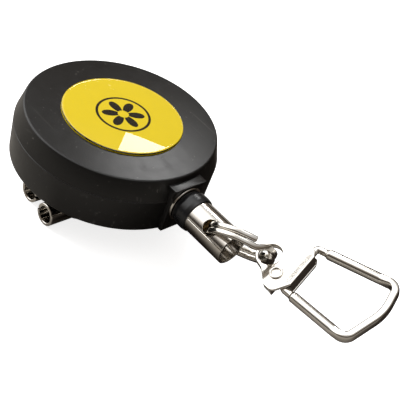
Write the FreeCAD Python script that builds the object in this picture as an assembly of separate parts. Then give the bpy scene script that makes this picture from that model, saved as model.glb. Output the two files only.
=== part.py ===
"""Retractable badge reel: a round cased cord reel with a swivelling back clip and a snap on its cord.

Millimetres. +X is the way the cord leaves, +Z is out of the front face, and the clip's flat underside
lies on z = 0 below the centre of the case. One STEP file is written for each named piece.
"""
import FreeCAD, Part
import math
import os

V = FreeCAD.Vector

# ---------------------------------------------------------------- driving sizes
# case
seam_radius = 20.5
front_draft = 1.25
rear_draft = 0.25
case_thickness = 11.5
seam_height = 7.2
wall = 1.5
floor_thickness = 1.2
edge_round = 0.45
seam_chamfer = 0.12
lip_height = 1.0
lip_thickness = 0.7
fit_gap = 0.04
# label
label_radius = 12.15
label_disc_thickness = 0.2
label_dome_height = 0.75
# nozzle
nozzle_height = 6.0
nozzle_half_width = 4.0
nozzle_reach = 0.4
nozzle_depth = 3.6
nozzle_margin = 0.3
nozzle_top = 10.45
visor_depth = 0.5
visor_thickness = 0.35
eyelet_flange_radius = 3.8
eyelet_flange_thickness = 0.5
eyelet_barrel_radius = 2.3
eyelet_bore_radius = 1.5
eyelet_back_flange = 0.4
# mechanism
arbor_radius = 1.7
arbor_foot_radius = 3.5
arbor_foot_thickness = 0.5
arbor_slot = 0.5
arbor_tip = 9.7
running_gap = 0.08
axial_gap = 0.15
spool_bore_boss = 2.9
groove_depth = 3.9
spool_drum_wall = 0.8
spool_clearance = 3.55
spool_flange = 0.7
groove_width = 2.8
spool_lid_thickness = 0.55
slip_washer_radius = 4.4
slip_washer_thickness = 0.2
winding_depth = 2.25
spring_strip = 0.18
spring_height = 3.6
spring_turns = 11
# cord and its end fittings
cord_diameter = 0.9
cord_bend_radius = 2.7
collar_length = 3.5
collar_radius = 3.75
collar_lip_radius = 3.55
tube_radius = 3.35
tube_wall = 0.45
tube_length = 11.86
tube_hole_radius = 1.65
tube_hole_setback = 4.5
tube_hole_angle = 47.0
tube_seam_angle = 16.6
tube_seam_width = 0.14
tube_collar_seat = 2.3
cord_stop_radius = 1.6
cord_stop_length = 2.2
# split ring
ring_mean_radius = 6.2
ring_coil_width = 1.2
ring_coil_thickness = 1.1
ring_coil_round = 0.3
ring_coil_gap = 0.04
ring_swing = 21.0
ring_gap_angle = 50.0
ring_bridge_angle = 16.0
# snap: folded plate and wire bail
snap_station = -6.9
snap_slack = 0.3
snap_roll = 25.0
snap_yaw = 12.5
snap_pitch = -12.0
snap_turn = -3.0
plate_sheet = 0.55
leaf_gap = 0.1
plate_hole_radius = 2.2
plate_hole_u = -0.1
plate_hole_v = -0.43
web_distance = 6.93
web_low = -3.78
web_high = 3.27
channel_play = 0.06
leaf_step_u = 4.85
leaf_step_run = 0.55
rivet_radius = 0.95
rivet_head_radius = 1.3
rivet_bore_radius = 0.8
rivet_head = 0.35
rivet_u = 3.3
rivet_v = -3.15
bail_wire = 2.0
bail_neck = 1.4
bail_neck_length = 2.3
bail_upper_leg = 5.58
bail_lower_leg = -4.57
bail_stub_length = 2.4
bail_swing = 6.0
bow_width = 1.5
bow_height = 2.3
bow_round = 0.5
bow_upper_u = 15.9
bow_upper_v = 7.1
bow_middle_u = 16.85
bow_middle_v = 1.3
bow_lower_u = 14.35
bow_lower_v = -6.55
bow_upper_bend = 1.7
bow_middle_bend = 9.0
bow_lower_bend = 1.8
# back clip
lever_height = 7.4
lever_sheet = 0.6
lever_width = 10.7
lever_tail = -17.5
lever_nose = 13.5
curl_radius = 2.35
curl_length = 5.3
curl_spacing = 6.9
curl_stagger = 1.2
tail_corner = 2.2
clip_base_gap = 0.45
clip_base_sheet = 0.8
clip_base_tail = -8.5
clip_teeth_height = 0.8
pin_y = -5.0
pin_drop = 3.6
pin_radius = 0.8
pin_head_radius = 1.3
pin_head = 0.4
pin_gap = 0.05
ear_length = 4.6
clip_side_gap = 0.45
spring_wire = 0.5
spring_coils = 5
spring_knee = 2.2
spring_leg = 1.5
spring_bend = 0.8
swivel_shank_radius = 1.3
swivel_head_radius = 2.6
swivel_head = 0.6
washer_radius = 4.2

# ---------------------------------------------------------------- derived places
front_edge_radius = seam_radius - front_draft
rear_edge_radius = seam_radius - rear_draft
inner_radius = rear_edge_radius - wall
spool_flange_radius = inner_radius - spool_clearance
spool_drum_radius = spool_flange_radius - groove_depth
nozzle_face = seam_radius + nozzle_reach
roof_inner = case_thickness - floor_thickness
collar_start = nozzle_face + eyelet_flange_thickness + fit_gap
collar_end = collar_start + collar_length
tube_start = collar_end - tube_collar_seat
tube_mouth = tube_start + tube_length
tube_hole_x = tube_mouth - tube_hole_setback
groove_floor = nozzle_height - groove_width / 2.0
groove_roof = nozzle_height + groove_width / 2.0
spool_top = groove_roof + spool_flange
lid_bottom = floor_thickness + arbor_foot_thickness + axial_gap
lid_top = lid_bottom + spool_lid_thickness
winding_inner = spool_drum_radius + fit_gap
winding_outer = winding_inner + winding_depth
cord_line_radius = winding_outer + cord_diameter / 2.0 + fit_gap
cord_bend_x = nozzle_face - nozzle_depth + eyelet_back_flange
clip_base_top = -clip_base_gap
clip_base_bottom = clip_base_top - clip_base_sheet
lever_inner_top = -lever_height + lever_sheet
channel_gap = bail_neck + 2.0 * channel_play
hinge_u = web_distance - plate_sheet - channel_play - bail_neck / 2.0
leaf_top = channel_gap / 2.0 + plate_sheet
lower_leaf_top = channel_gap / 2.0 - leaf_gap
clip_base_width = lever_width - 2.0 * (lever_sheet + clip_side_gap)


# ---------------------------------------------------------------- helpers
def save(shape, node):
    """Write one named piece, stood on the clip's underside."""
    placed = shape.copy()
    placed.translate(V(0, 0, lever_height))
    placed.exportStep("parts/" + node + ".step")


def cylinder(radius, start, length, axis=V(0, 0, 1)):
    """Cylinder from a start point along an axis."""
    return Part.makeCylinder(radius, length, start, axis)


def disc(radius, low, high, x=0.0, y=0.0):
    """Upright cylinder between two heights."""
    return cylinder(radius, V(x, y, low), high - low)


def ring(outer, inner, low, high):
    """Upright tube between two heights."""
    return disc(outer, low, high).cut(disc(inner, low, high))


def box(x0, x1, y0, y1, z0, z1):
    """Box from its low and high sides."""
    return Part.makeBox(x1 - x0, y1 - y0, z1 - z0, V(x0, y0, z0))


def outline(start, steps):
    """Closed wire in the XY plane; a step is (end,) for a line or (mid, end) for an arc."""
    edges = []
    here = start
    for step in steps:
        there = step[-1]
        a = V(here[0], here[1], 0)
        b = V(there[0], there[1], 0)
        if len(step) == 1:
            edges.append(Part.LineSegment(a, b).toShape())
        else:
            middle = V(step[0][0], step[0][1], 0)
            edges.append(Part.Arc(a, middle, b).toShape())
        here = there
    return Part.Wire(edges)


def slab(wire, low, high):
    """Extrude a closed XY wire between two heights."""
    face = Part.Face(wire)
    face.translate(V(0, 0, low))
    return face.extrude(V(0, 0, high - low))


def turned(start, steps, axis=V(0, 0, 1)):
    """Solid of revolution: the outline's x is the radius and its y is the place along the axis."""
    wire = outline(start, steps)
    face = Part.Face(wire)
    face.rotate(V(0, 0, 0), V(1, 0, 0), 90)
    solid = face.revolve(V(0, 0, 0), V(0, 0, 1), 360)
    if axis.x > 0.5:
        solid.rotate(V(0, 0, 0), V(0, 1, 0), 90)
        solid.translate(V(0, 0, nozzle_height))
    return solid


def bent_path(points, radii):
    """Wire of straight runs joined by tangent arcs, one radius for each inner corner."""
    edges = []
    here = points[0]
    for i in range(1, len(points) - 1):
        back = (points[i - 1] - points[i]).normalize()
        ahead = (points[i + 1] - points[i]).normalize()
        half_turn = (math.pi - back.getAngle(ahead)) / 2.0
        reach = radii[i - 1] * math.tan(half_turn)
        start = points[i] + back * reach
        end = points[i] + ahead * reach
        inward = (back + ahead).normalize()
        centre = points[i] + inward * (radii[i - 1] / math.cos(half_turn))
        middle = centre - inward * radii[i - 1]
        edges.append(Part.LineSegment(here, start).toShape())
        edges.append(Part.Arc(start, middle, end).toShape())
        here = end
    edges.append(Part.LineSegment(here, points[-1]).toShape())
    return Part.Wire(edges)


def round_bar(points, radius, radii):
    """Round bar along a bent path."""
    direction = (points[1] - points[0]).normalize()
    section = Part.Wire([Part.Circle(points[0], direction, radius).toShape()])
    return bent_path(points, radii).makePipeShell([section], True, True)


# ---------------------------------------------------------------- case
def nozzle_block(low, high):
    """Flat-faced boss on the rim, as wide as the visor."""
    return box(nozzle_face - nozzle_depth, nozzle_face, -nozzle_half_width, nozzle_half_width, low, high)


def nozzle_bore():
    """Hole for the eyelet's barrel, right through the block."""
    start = V(nozzle_face - nozzle_depth - wall, 0, nozzle_height)
    return cylinder(eyelet_barrel_radius + fit_gap, start, nozzle_depth + 2.0 * wall, V(1, 0, 0))


def cover_pin_places():
    """Three places beside the spool, clear of the nozzle and of the cord's run."""
    radius = (inner_radius - lip_thickness + spool_flange_radius) / 2.0
    return [(radius * math.cos(math.radians(a)), radius * math.sin(math.radians(a))) for a in (75, 180, 285)]


def rear_cover():
    """Cup with a drafted wall, arbor seat, three sockets and the lower part of the nozzle."""
    r = rear_edge_radius
    skew = edge_round * (1.0 - math.sqrt(0.5))
    shell = turned((0, 0), [((r - edge_round, 0),),
                            ((r - skew, skew), (r, edge_round)),
                            ((seam_radius, seam_height - seam_chamfer),),
                            ((seam_radius - seam_chamfer, seam_height),),
                            ((0, seam_height),), ((0, 0),)])
    shell = shell.fuse(nozzle_block(nozzle_margin, seam_height))
    cavity = disc(inner_radius, floor_thickness, seam_height + 1.0)
    keep = box(nozzle_face - nozzle_depth, nozzle_face, -nozzle_half_width, nozzle_half_width,
               floor_thickness, seam_height)
    shell = shell.cut(cavity.cut(keep))
    for x, y in cover_pin_places():
        post = disc(cover_pin_radius() + 0.6, floor_thickness / 2.0, seam_height - lip_height, x, y)
        shell = shell.fuse(post)
        shell = shell.cut(disc(cover_pin_radius() + fit_gap, floor_thickness, seam_height, x, y))
    shell = shell.cut(disc(swivel_shank_radius + fit_gap, -1.0, floor_thickness + 1.0))
    shell = shell.cut(nozzle_bore())
    return shell.removeSplitter()


def cover_pin_radius():
    """Pin radius that leaves its socket clear of the spool's flange and the wall."""
    return (inner_radius - lip_thickness - spool_flange_radius) / 2.0 - 0.75


def front_cover():
    """Cap with a drafted wall, locating lip, post socket, three pins and the nozzle's visor."""
    r = front_edge_radius
    top = case_thickness
    skew = edge_round * (1.0 - math.sqrt(0.5))
    shell = turned((0, seam_height), [((seam_radius - seam_chamfer, seam_height),),
                                      ((seam_radius, seam_height + seam_chamfer),),
                                      ((r, top - edge_round),),
                                      ((r - skew, top - skew), (r - edge_round, top)),
                                      ((0, top),), ((0, seam_height),)])
    visor = box(nozzle_face - nozzle_depth, nozzle_face + visor_depth, -nozzle_half_width, nozzle_half_width,
                nozzle_top - visor_thickness, nozzle_top)
    shell = shell.fuse(nozzle_block(seam_height, nozzle_top - visor_thickness)).fuse(visor)
    front_inner = inner_radius - lip_thickness
    cavity = disc(front_inner, seam_height - 1.0, roof_inner)
    keep = box(nozzle_face - nozzle_depth, nozzle_face, -nozzle_half_width, nozzle_half_width,
               seam_height, roof_inner)
    shell = shell.cut(cavity.cut(keep))
    lip = ring(inner_radius - fit_gap, front_inner - fit_gap, seam_height - lip_height, seam_height + wall)
    side = nozzle_half_width + fit_gap
    lip = lip.cut(box(0, nozzle_face, -side, side, 0, seam_height))
    shell = shell.fuse(lip)
    boss = disc(arbor_radius + 1.2, spool_top + 2.0 * axial_gap + slip_washer_thickness, roof_inner + 0.5)
    shell = shell.fuse(boss)
    shell = shell.cut(disc(arbor_radius + fit_gap, seam_height, arbor_tip + axial_gap))
    for x, y in cover_pin_places():
        shell = shell.fuse(disc(cover_pin_radius() + 0.6, seam_height - lip_height, roof_inner + 0.5, x, y))
        shell = shell.fuse(disc(cover_pin_radius(), floor_thickness + 1.0, seam_height, x, y))
    shell = shell.cut(nozzle_bore())
    return shell.removeSplitter()


def label_disc():
    """Printed disc that lies on the face."""
    return disc(label_radius, case_thickness, case_thickness + label_disc_thickness)


def label_dome():
    """Clear lens with a rounded shoulder over the whole disc."""
    low = case_thickness + label_disc_thickness
    high = case_thickness + label_dome_height
    shoulder = low + 0.6 * (high - low)
    return turned((0, low), [((label_radius, low),),
                             ((label_radius - 0.1, (low + shoulder) / 2.0), (label_radius - 0.45, shoulder)),
                             ((label_radius / 2.0, high - 0.25 * (high - shoulder)), (0.5, high)),
                             ((0, high),), ((0, low),)])


# ---------------------------------------------------------------- mechanism
def arbor():
    """Slotted post with a foot that rests on the rear cover's floor."""
    post = disc(arbor_foot_radius, floor_thickness, floor_thickness + arbor_foot_thickness)
    post = post.fuse(disc(arbor_radius, floor_thickness, arbor_tip))
    half = arbor_slot / 2.0
    slot = box(-half, half, -arbor_radius - 1.0, arbor_radius + 1.0, lid_top + axial_gap, arbor_tip + 1.0)
    bore = disc(swivel_shank_radius + fit_gap, 0, floor_thickness + arbor_foot_thickness)
    return post.cut(slot).cut(bore)


def spool():
    """Drum open below for the spring, with two flanges round the cord's groove."""
    body = disc(spool_drum_radius, lid_top, spool_top)
    body = body.fuse(disc(spool_flange_radius, groove_floor - spool_flange, groove_floor))
    body = body.fuse(disc(spool_flange_radius, groove_roof, spool_top))
    cavity = disc(spool_drum_radius - spool_drum_wall, lid_top, groove_roof)
    body = body.cut(cavity)
    body = body.fuse(disc(spool_bore_boss, spring_top() + axial_gap, spool_top))
    body = body.cut(disc(arbor_radius + running_gap, 0, case_thickness))
    half = arbor_slot
    hook = box(spool_drum_radius - spool_drum_wall - 0.1, spool_drum_radius + 0.1, -half, half,
               lid_top, groove_floor - spool_flange)
    return body.cut(hook).removeSplitter()


def spring_top():
    """Upper edge of the mainspring's strip."""
    return lid_top + axial_gap + spring_height


def spool_lid():
    """Thin disc that closes the spring's cavity."""
    return ring(spool_drum_radius, arbor_radius + 2.0 * running_gap, lid_bottom, lid_top)


def mainspring():
    """Spiral strip from the arbor's slot to the drum wall, built of half turns of growing radius."""
    inner = arbor_radius + 0.25
    outer = spool_drum_radius - spool_drum_wall - 0.1 - spring_strip
    step = (outer - inner) / (2.0 * spring_turns)
    low = lid_top + axial_gap
    strip = None
    for i in range(2 * spring_turns):
        radius = inner + step * i
        side = 1.0 if i % 2 == 0 else -1.0
        centre = side * step / 2.0
        inside = radius + step / 2.0
        arc = disc(inside + spring_strip, low, low + spring_height, centre, 0.0)
        arc = arc.cut(disc(inside, low, low + spring_height, centre, 0.0))
        reach = 2.0 * spool_drum_radius
        if side > 0:
            arc = arc.common(box(-reach, reach, 0, reach, low, low + spring_height))
        else:
            arc = arc.common(box(-reach, reach, -reach, 0, low, low + spring_height))
        strip = arc if strip is None else strip.fuse(arc)
    return strip.removeSplitter()


def slip_washer():
    """Thin washer between the spool and the front cover's boss."""
    low = spool_top + axial_gap
    return ring(slip_washer_radius, arbor_radius + running_gap, low, low + slip_washer_thickness)


def cord_winding():
    """Outer shape of the cord wound on the drum."""
    slack = 0.1
    return ring(winding_outer, winding_inner, groove_floor + slack, groove_roof - slack)


def cord_route():
    """Route inside the case: off the winding's tangent, round the eyelet's mouth, out along +X."""
    angle = math.acos(cord_line_radius / cord_bend_x)
    leave = V(cord_line_radius * math.cos(angle), -cord_line_radius * math.sin(angle), nozzle_height)
    bend = V(cord_bend_x, 0, nozzle_height)
    reach = cord_bend_radius * math.tan((math.pi / 2.0 - angle) / 2.0)
    end = V(cord_bend_x + reach + 0.3, 0, nozzle_height)
    return [leave, bend, end]


def cord_run():
    """Cord from the winding to the eyelet."""
    return round_bar(cord_route(), cord_diameter / 2.0, [cord_bend_radius])


def cord_tail():
    """Cord from the eyelet, through the collar, to its stop in the tube."""
    start = cord_route()[-1]
    return cylinder(cord_diameter / 2.0, start, cord_stop_start() - start.x, V(1, 0, 0))


def cord_stop_start():
    """Where the cord's stop begins, against the inside of the tube's end wall."""
    return tube_start + tube_wall + fit_gap


# ---------------------------------------------------------------- end fittings
def eyelet():
    """Grommet: rounded front flange, barrel and a flared back flange."""
    face = nozzle_face
    back = nozzle_face - nozzle_depth
    t = eyelet_flange_thickness
    r = eyelet_flange_radius
    b = eyelet_bore_radius
    mouth = b + 0.45
    return turned((b, face - 0.6), [((b + 0.1, face + t - 0.35), (b + 0.5, face + t)),
                                    ((r - 0.35, face + t),),
                                    ((r - 0.08, face + t - 0.12), (r, face + 0.12)),
                                    ((r, face),),
                                    ((eyelet_barrel_radius, face),),
                                    ((eyelet_barrel_radius, back),),
                                    ((eyelet_barrel_radius + 0.7, back),),
                                    ((eyelet_barrel_radius + 0.7, back - eyelet_back_flange),),
                                    ((mouth + 0.1, back - eyelet_back_flange),),
                                    ((mouth, back + 0.4), (b, back + 1.2)),
                                    ((b, face - 0.6),)], V(1, 0, 0))


def collar():
    """Rubber stop: a soft barrel that laps over the tube's end."""
    a = collar_start
    e = collar_end
    bore = tube_radius + running_gap / 2.0
    hole = cord_diameter / 2.0 + fit_gap
    seat = tube_start - fit_gap
    return turned((hole, a), [((collar_radius - 0.7, a),),
                              ((collar_radius - 0.15, a + 0.25), (collar_radius, a + 0.9)),
                              ((collar_radius, e - 1.3),),
                              ((collar_radius - 0.04, e - 0.5), (collar_lip_radius, e)),
                              ((bore, e),), ((bore, seat),), ((hole, seat),), ((hole, a),)], V(1, 0, 0))


def radial(angle):
    """Direction across the tube: an angle above -Y, towards +Z."""
    a = math.radians(angle)
    return V(0, -math.cos(a), math.sin(a))


def end_tube():
    """Rolled tube with an end wall, a lengthwise seam and two opposite holes."""
    tube = turned((cord_diameter, tube_start), [((tube_radius - 0.3, tube_start),),
                                                ((tube_radius, tube_start + 0.3),),
                                                ((tube_radius, tube_mouth),),
                                                ((tube_radius - tube_wall, tube_mouth),),
                                                ((tube_radius - tube_wall, tube_start + tube_wall),),
                                                ((cord_diameter, tube_start + tube_wall),),
                                                ((cord_diameter, tube_start),)], V(1, 0, 0))
    centre = V(tube_hole_x, 0, nozzle_height)
    across = radial(tube_hole_angle)
    reach = 2.0 * tube_radius
    tube = tube.cut(cylinder(tube_hole_radius, centre - across * reach, 2.0 * reach, across))
    slit = Part.makeBox(tube_mouth - collar_end + 2.0, tube_radius, tube_seam_width)
    slit.translate(V(collar_end - 1.0, tube_radius - 2.0 * tube_wall, -tube_seam_width / 2.0))
    slit.rotate(V(0, 0, 0), V(1, 0, 0), 180.0 - tube_seam_angle)
    slit.translate(V(0, 0, nozzle_height))
    return tube.cut(slit)


def cord_stop():
    """Crimped bead that the tube hangs on."""
    a = cord_stop_start()
    e = a + cord_stop_length
    r = cord_stop_radius
    return turned((0, a), [((r - 0.4, a),), ((r, a + 0.4),), ((r, e - 0.6),), ((r - 0.6, e),), ((0, e),),
                           ((0, a),)], V(1, 0, 0))


def ring_frame():
    """Centre and directions of the split ring: outward, across and normal."""
    across = radial(tube_hole_angle)
    side = across.cross(V(1, 0, 0))
    a = math.radians(ring_swing)
    outward = V(1, 0, 0) * math.cos(a) + side * math.sin(a)
    normal = outward.cross(across)
    crossing = tube_radius - tube_wall / 2.0
    reach = math.sqrt(ring_mean_radius ** 2 - crossing ** 2)
    centre = V(tube_hole_x, 0, nozzle_height) + outward * reach
    return centre, outward, across, normal


def placed(solid, origin, x_axis, y_axis, z_axis):
    """Move a solid from the XYZ axes to the given right-handed axes."""
    matrix = FreeCAD.Matrix(x_axis.x, y_axis.x, z_axis.x, origin.x,
                            x_axis.y, y_axis.y, z_axis.y, origin.y,
                            x_axis.z, y_axis.z, z_axis.z, origin.z,
                            0, 0, 0, 1)
    moved = solid.copy()
    moved.Placement = FreeCAD.Placement(matrix)
    return moved


def ring_coil(low, start_angle, sweep):
    """One flat coil with rounded edges, over part of a turn."""
    a = ring_mean_radius - ring_coil_width / 2.0
    b = ring_mean_radius + ring_coil_width / 2.0
    c = ring_coil_round
    high = low + ring_coil_thickness
    wire = outline((a + c, low), [((b - c, low),), ((b, low + c),), ((b, high - c),), ((b - c, high),),
                                  ((a + c, high),), ((a, high - c),), ((a, low + c),), ((a + c, low),)])
    face = Part.Face(wire)
    face.rotate(V(0, 0, 0), V(1, 0, 0), 90)
    face.rotate(V(0, 0, 0), V(0, 0, 1), start_angle)
    return face.revolve(V(0, 0, 0), V(0, 0, 1), sweep)


def split_ring():
    """Two coils that run past each other, joined where the wire steps from one to the other."""
    half = ring_coil_gap / 2.0
    gap = 3.0
    upper = ring_coil(-half - ring_coil_thickness, ring_gap_angle, 360.0 - ring_bridge_angle)
    lower = ring_coil(half, ring_gap_angle + gap - ring_bridge_angle, 360.0 - gap)
    bridge = ring_coil(-half - ring_coil_thickness / 2.0, ring_gap_angle - 2.0 * ring_bridge_angle,
                       ring_bridge_angle + 0.5)
    both = upper.fuse(lower).fuse(bridge).removeSplitter()
    centre, outward, across, normal = ring_frame()
    return placed(both, centre, outward, normal.cross(outward), normal)


# ---------------------------------------------------------------- snap
def snap_frame():
    """Origin in the bail's plane below the ring hole, with the plate's length, width and normal."""
    roll = FreeCAD.Rotation(V(1, 0, 0), snap_roll)
    yaw = FreeCAD.Rotation(V(0, 0, 1), snap_yaw)
    pitch = FreeCAD.Rotation(V(0, 1, 0), snap_pitch)
    skew = FreeCAD.Rotation(V(0, 0, 1), snap_turn)
    turn = roll.multiply(yaw).multiply(pitch).multiply(skew)
    u = turn.multVec(V(1, 0, 0))
    v = turn.multVec(V(0, 1, 0))
    w = turn.multVec(V(0, 0, 1))
    centre, outward, across, normal = ring_frame()
    a = math.radians(snap_station)
    hole = centre + (outward * math.cos(a) + across * math.sin(a)) * (ring_mean_radius - snap_slack)
    leaves_middle = (leaf_top + lower_leaf_top - plate_sheet) / 2.0
    origin = hole - u * plate_hole_u - v * plate_hole_v - w * leaves_middle
    return origin, u, v, w


def in_snap(solid):
    """Place a solid made in the plate's own axes."""
    origin, u, v, w = snap_frame()
    return placed(solid, origin, u, v, w)


def leaf_outline():
    """Plan of one leaf in hole radii: lobe round the ring hole, two shoulders and the straight fold."""
    w = web_distance
    h = web_high
    r = plate_hole_radius
    return outline((w, h), [((w - 0.273 * r, h + 0.523 * r),),
                            ((w - 1.25 * r, h + 0.932 * r),),
                            ((w - 1.705 * r, h + 1.091 * r), (w - 2.136 * r, h + 0.909 * r)),
                            ((0.455 * r, 2.023 * r), (-0.045 * r, 1.841 * r)),
                            ((-1.114 * r, 1.341 * r), (-1.432 * r, 0.295 * r)),
                            ((-1.227 * r, -0.795 * r), (-0.727 * r, -1.295 * r)),
                            ((0.159 * r, -1.727 * r), (0.773 * r, -2.341 * r)),
                            ((1.25 * r, -2.841 * r), (1.909 * r, -3.0 * r)),
                            ((2.227 * r, -2.955 * r), (2.432 * r, -2.75 * r)),
                            ((w, web_low),), ((w, h),)])


def lower_leaf_profile():
    """Side view of the lower leaf: level, a steep step beside the channel, level again."""
    a = lower_leaf_top
    c = -channel_gap / 2.0
    t = plate_sheet
    u0 = leaf_step_u - leaf_step_run
    back = 0.8 * t
    far = -web_distance
    wire = outline((far, a), [((u0, a),), ((leaf_step_u, c),), ((web_distance, c),),
                               ((web_distance, c - t),), ((leaf_step_u - back, c - t),),
                               ((u0 - back, a - t),), ((far, a - t),), ((far, a),)])
    face = Part.Face(wire)
    face.rotate(V(0, 0, 0), V(1, 0, 0), 90)
    face.translate(V(0, 2.0 * web_distance, 0))
    return face.extrude(V(0, -4.0 * web_distance, 0))


def clip_plate():
    """Sheet folded over the bail's channel; the lower leaf's corners are cut for the bail's necks."""
    t = plate_sheet
    low = -leaf_top
    upper = slab(leaf_outline(), leaf_top - t, leaf_top)
    lower = slab(leaf_outline(), low - 0.5, leaf_top).common(lower_leaf_profile())
    relief = leaf_step_u + 0.01
    wide = 2.0 * web_distance
    lower = lower.cut(box(relief, wide, -wide, web_low, low - t, leaf_top))
    lower = lower.cut(box(relief, wide, web_high + bail_neck, wide, low - t, leaf_top))
    web = box(web_distance - t, web_distance, web_low, web_high, low, leaf_top)
    plate = upper.fuse(lower).fuse(web)
    plate = plate.cut(disc(plate_hole_radius, -5.0, 5.0, plate_hole_u, plate_hole_v))
    plate = plate.cut(disc(rivet_radius + fit_gap, -5.0, 5.0, rivet_u, rivet_v))
    return in_snap(plate.removeSplitter())


def plate_rivet():
    """Hollow rivet through both leaves, with a head on the upper leaf."""
    low = lower_leaf_top - plate_sheet
    body = disc(rivet_radius, low - 0.2, leaf_top + rivet_head, rivet_u, rivet_v)
    body = body.fuse(disc(rivet_head_radius, leaf_top, leaf_top + rivet_head, rivet_u, rivet_v))
    body = body.cut(disc(rivet_bore_radius, low - 1.0, leaf_top + 2.0 * rivet_head, rivet_u, rivet_v))
    return in_snap(body)


def bail_leg(start_v, end_u, end_v):
    """Neck on the hinge line and the thicker leg after it, up to the bow."""
    hinge = V(hinge_u, start_v, 0)
    run = V(hinge_u + end_u, end_v, 0) - hinge
    way = V(run.x, run.y, run.z).normalize()
    neck = cylinder(bail_neck / 2.0, hinge, bail_neck_length + 0.5, way)
    knob = Part.makeSphere(bail_neck / 2.0, hinge)
    full = cylinder(bail_wire / 2.0, hinge + way * bail_neck_length,
                    run.Length * 0.86 - bail_neck_length, way)
    return neck.fuse(knob).fuse(full), hinge + way * (run.Length * 0.82)


def bow_section(at, way):
    """Rounded oblong across the bow's path, taller than it is wide."""
    side = V(0, 0, 1).cross(way)
    half = bow_width / 2.0
    tall = bow_height / 2.0
    r = bow_round
    skew = r * (1.0 - math.sqrt(0.5))
    corners = [(half, tall), (-half, tall), (-half, -tall), (half, -tall)]
    edges = []
    previous = at + side * half + V(0, 0, -tall + r)
    for x, z in corners:
        sx = math.copysign(1.0, x)
        sz = math.copysign(1.0, z)
        on_side = at + side * x + V(0, 0, z - sz * r)
        middle = at + side * (x - sx * skew) + V(0, 0, z - sz * skew)
        on_end = at + side * (x - sx * r) + V(0, 0, z)
        first, last = (on_side, on_end) if sx * sz > 0 else (on_end, on_side)
        edges.append(Part.LineSegment(previous, first).toShape())
        edges.append(Part.Arc(first, middle, last).toShape())
        previous = last
    return Part.Wire(edges)


def bail():
    """Wire loop: two legs hinged in the channel and a pressed bow, taller than the legs."""
    upper, upper_end = bail_leg(bail_upper_leg, bow_upper_u, bow_upper_v)
    lower, lower_end = bail_leg(bail_lower_leg, bow_lower_u, bow_lower_v)
    corners = [upper_end,
               V(hinge_u + bow_upper_u, bow_upper_v, 0),
               V(hinge_u + bow_middle_u, bow_middle_v, 0),
               V(hinge_u + bow_lower_u, bow_lower_v, 0),
               lower_end]
    path = bent_path(corners, [bow_upper_bend, bow_middle_bend, bow_lower_bend])
    way = (corners[1] - corners[0]).normalize()
    bow = path.makePipeShell([bow_section(upper_end, way)], True, True)
    r = bail_neck / 2.0
    upper_stub = cylinder(r, V(hinge_u, web_high - bail_stub_length, 0),
                          bail_upper_leg - web_high + bail_stub_length, V(0, 1, 0))
    lower_stub = cylinder(r, V(hinge_u, bail_lower_leg, 0), web_low + bail_stub_length - bail_lower_leg,
                          V(0, 1, 0))
    loop = bow.fuse([upper, lower, upper_stub, lower_stub]).removeSplitter()
    loop.rotate(V(hinge_u, 0, 0), V(0, 1, 0), bail_swing)
    return in_snap(loop)


# ---------------------------------------------------------------- back clip
def pin_hole(radius):
    """Hole across the clip on the hinge line."""
    return cylinder(radius, V(-lever_width, pin_y, -pin_drop), 2.0 * lever_width, V(1, 0, 0))


def ears(outer_face, sheet, low, high):
    """Pair of upright ears beside the hinge line."""
    half = ear_length / 2.0
    right = box(outer_face - sheet, outer_face, pin_y - half, pin_y + half, low, high)
    left = box(-outer_face, -outer_face + sheet, pin_y - half, pin_y + half, low, high)
    return right.fuse(left)


def clip_base():
    """Upper jaw plate under the case, with ears down to the pin and a toothed nose."""
    half = clip_base_width / 2.0
    plate = box(-half, half, clip_base_tail, lever_nose, clip_base_bottom, clip_base_top)
    plate = plate.fuse(ears(half, lever_sheet, -pin_drop - 1.3, clip_base_top))
    count = 4
    pitch = clip_base_width / count
    for i in range(count):
        x0 = -half + pitch * (i + 0.2)
        plate = plate.fuse(box(x0, x0 + 0.6 * pitch, lever_nose - lever_sheet, lever_nose,
                               clip_base_bottom - clip_teeth_height, clip_base_bottom))
    plate = plate.cut(pin_hole(pin_radius + pin_gap))
    plate = plate.cut(disc(swivel_shank_radius + pin_gap, clip_base_bottom - 1.0, 1.0))
    return plate.removeSplitter()


def clip_lever():
    """Lower jaw: flat strip with ears, a turned-up nose and two rolled tubes at the tail, one set back."""
    half = lever_width / 2.0
    low = -lever_height
    start = lever_tail + curl_length - lever_sheet
    c = tail_corner
    strip = slab(outline((-half + c, start), [((half - c, start),), ((half, start + c),), ((half, lever_nose),),
                                              ((-half, lever_nose),), ((-half, start + c),),
                                              ((-half + c, start),)]), low, lever_inner_top)
    strip = strip.fuse(ears(half, lever_sheet, low, -pin_drop + 1.4))
    nose_top = clip_base_bottom - clip_teeth_height - 0.3
    strip = strip.fuse(box(-half, half, lever_nose - lever_sheet, lever_nose, low, nose_top))
    strip = strip.fuse(curl(curl_spacing / 2.0, 1.0, lever_tail))
    strip = strip.fuse(curl(-curl_spacing / 2.0, -1.0, lever_tail + curl_stagger))
    return strip.cut(pin_hole(pin_radius + pin_gap)).removeSplitter()


def curl(x, side, start_y):
    """One rolled tube along Y, open on a narrow line towards the middle of the strip."""
    centre_z = -lever_height + curl_radius
    along = V(0, 1, 0)
    start = V(x, start_y, centre_z)
    run = lever_tail + curl_length - start_y
    tube = cylinder(curl_radius, start, run, along)
    tube = tube.cut(cylinder(curl_radius - lever_sheet, start, run, along))
    x0, x1 = (x - curl_radius, x) if side > 0 else (x, x + curl_radius)
    opening = box(x0 - 0.1, x1 + 0.1, lever_tail - 1.0, lever_tail + curl_length + 1.0,
                  centre_z - lever_sheet, centre_z + 0.2)
    return tube.cut(opening)


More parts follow.
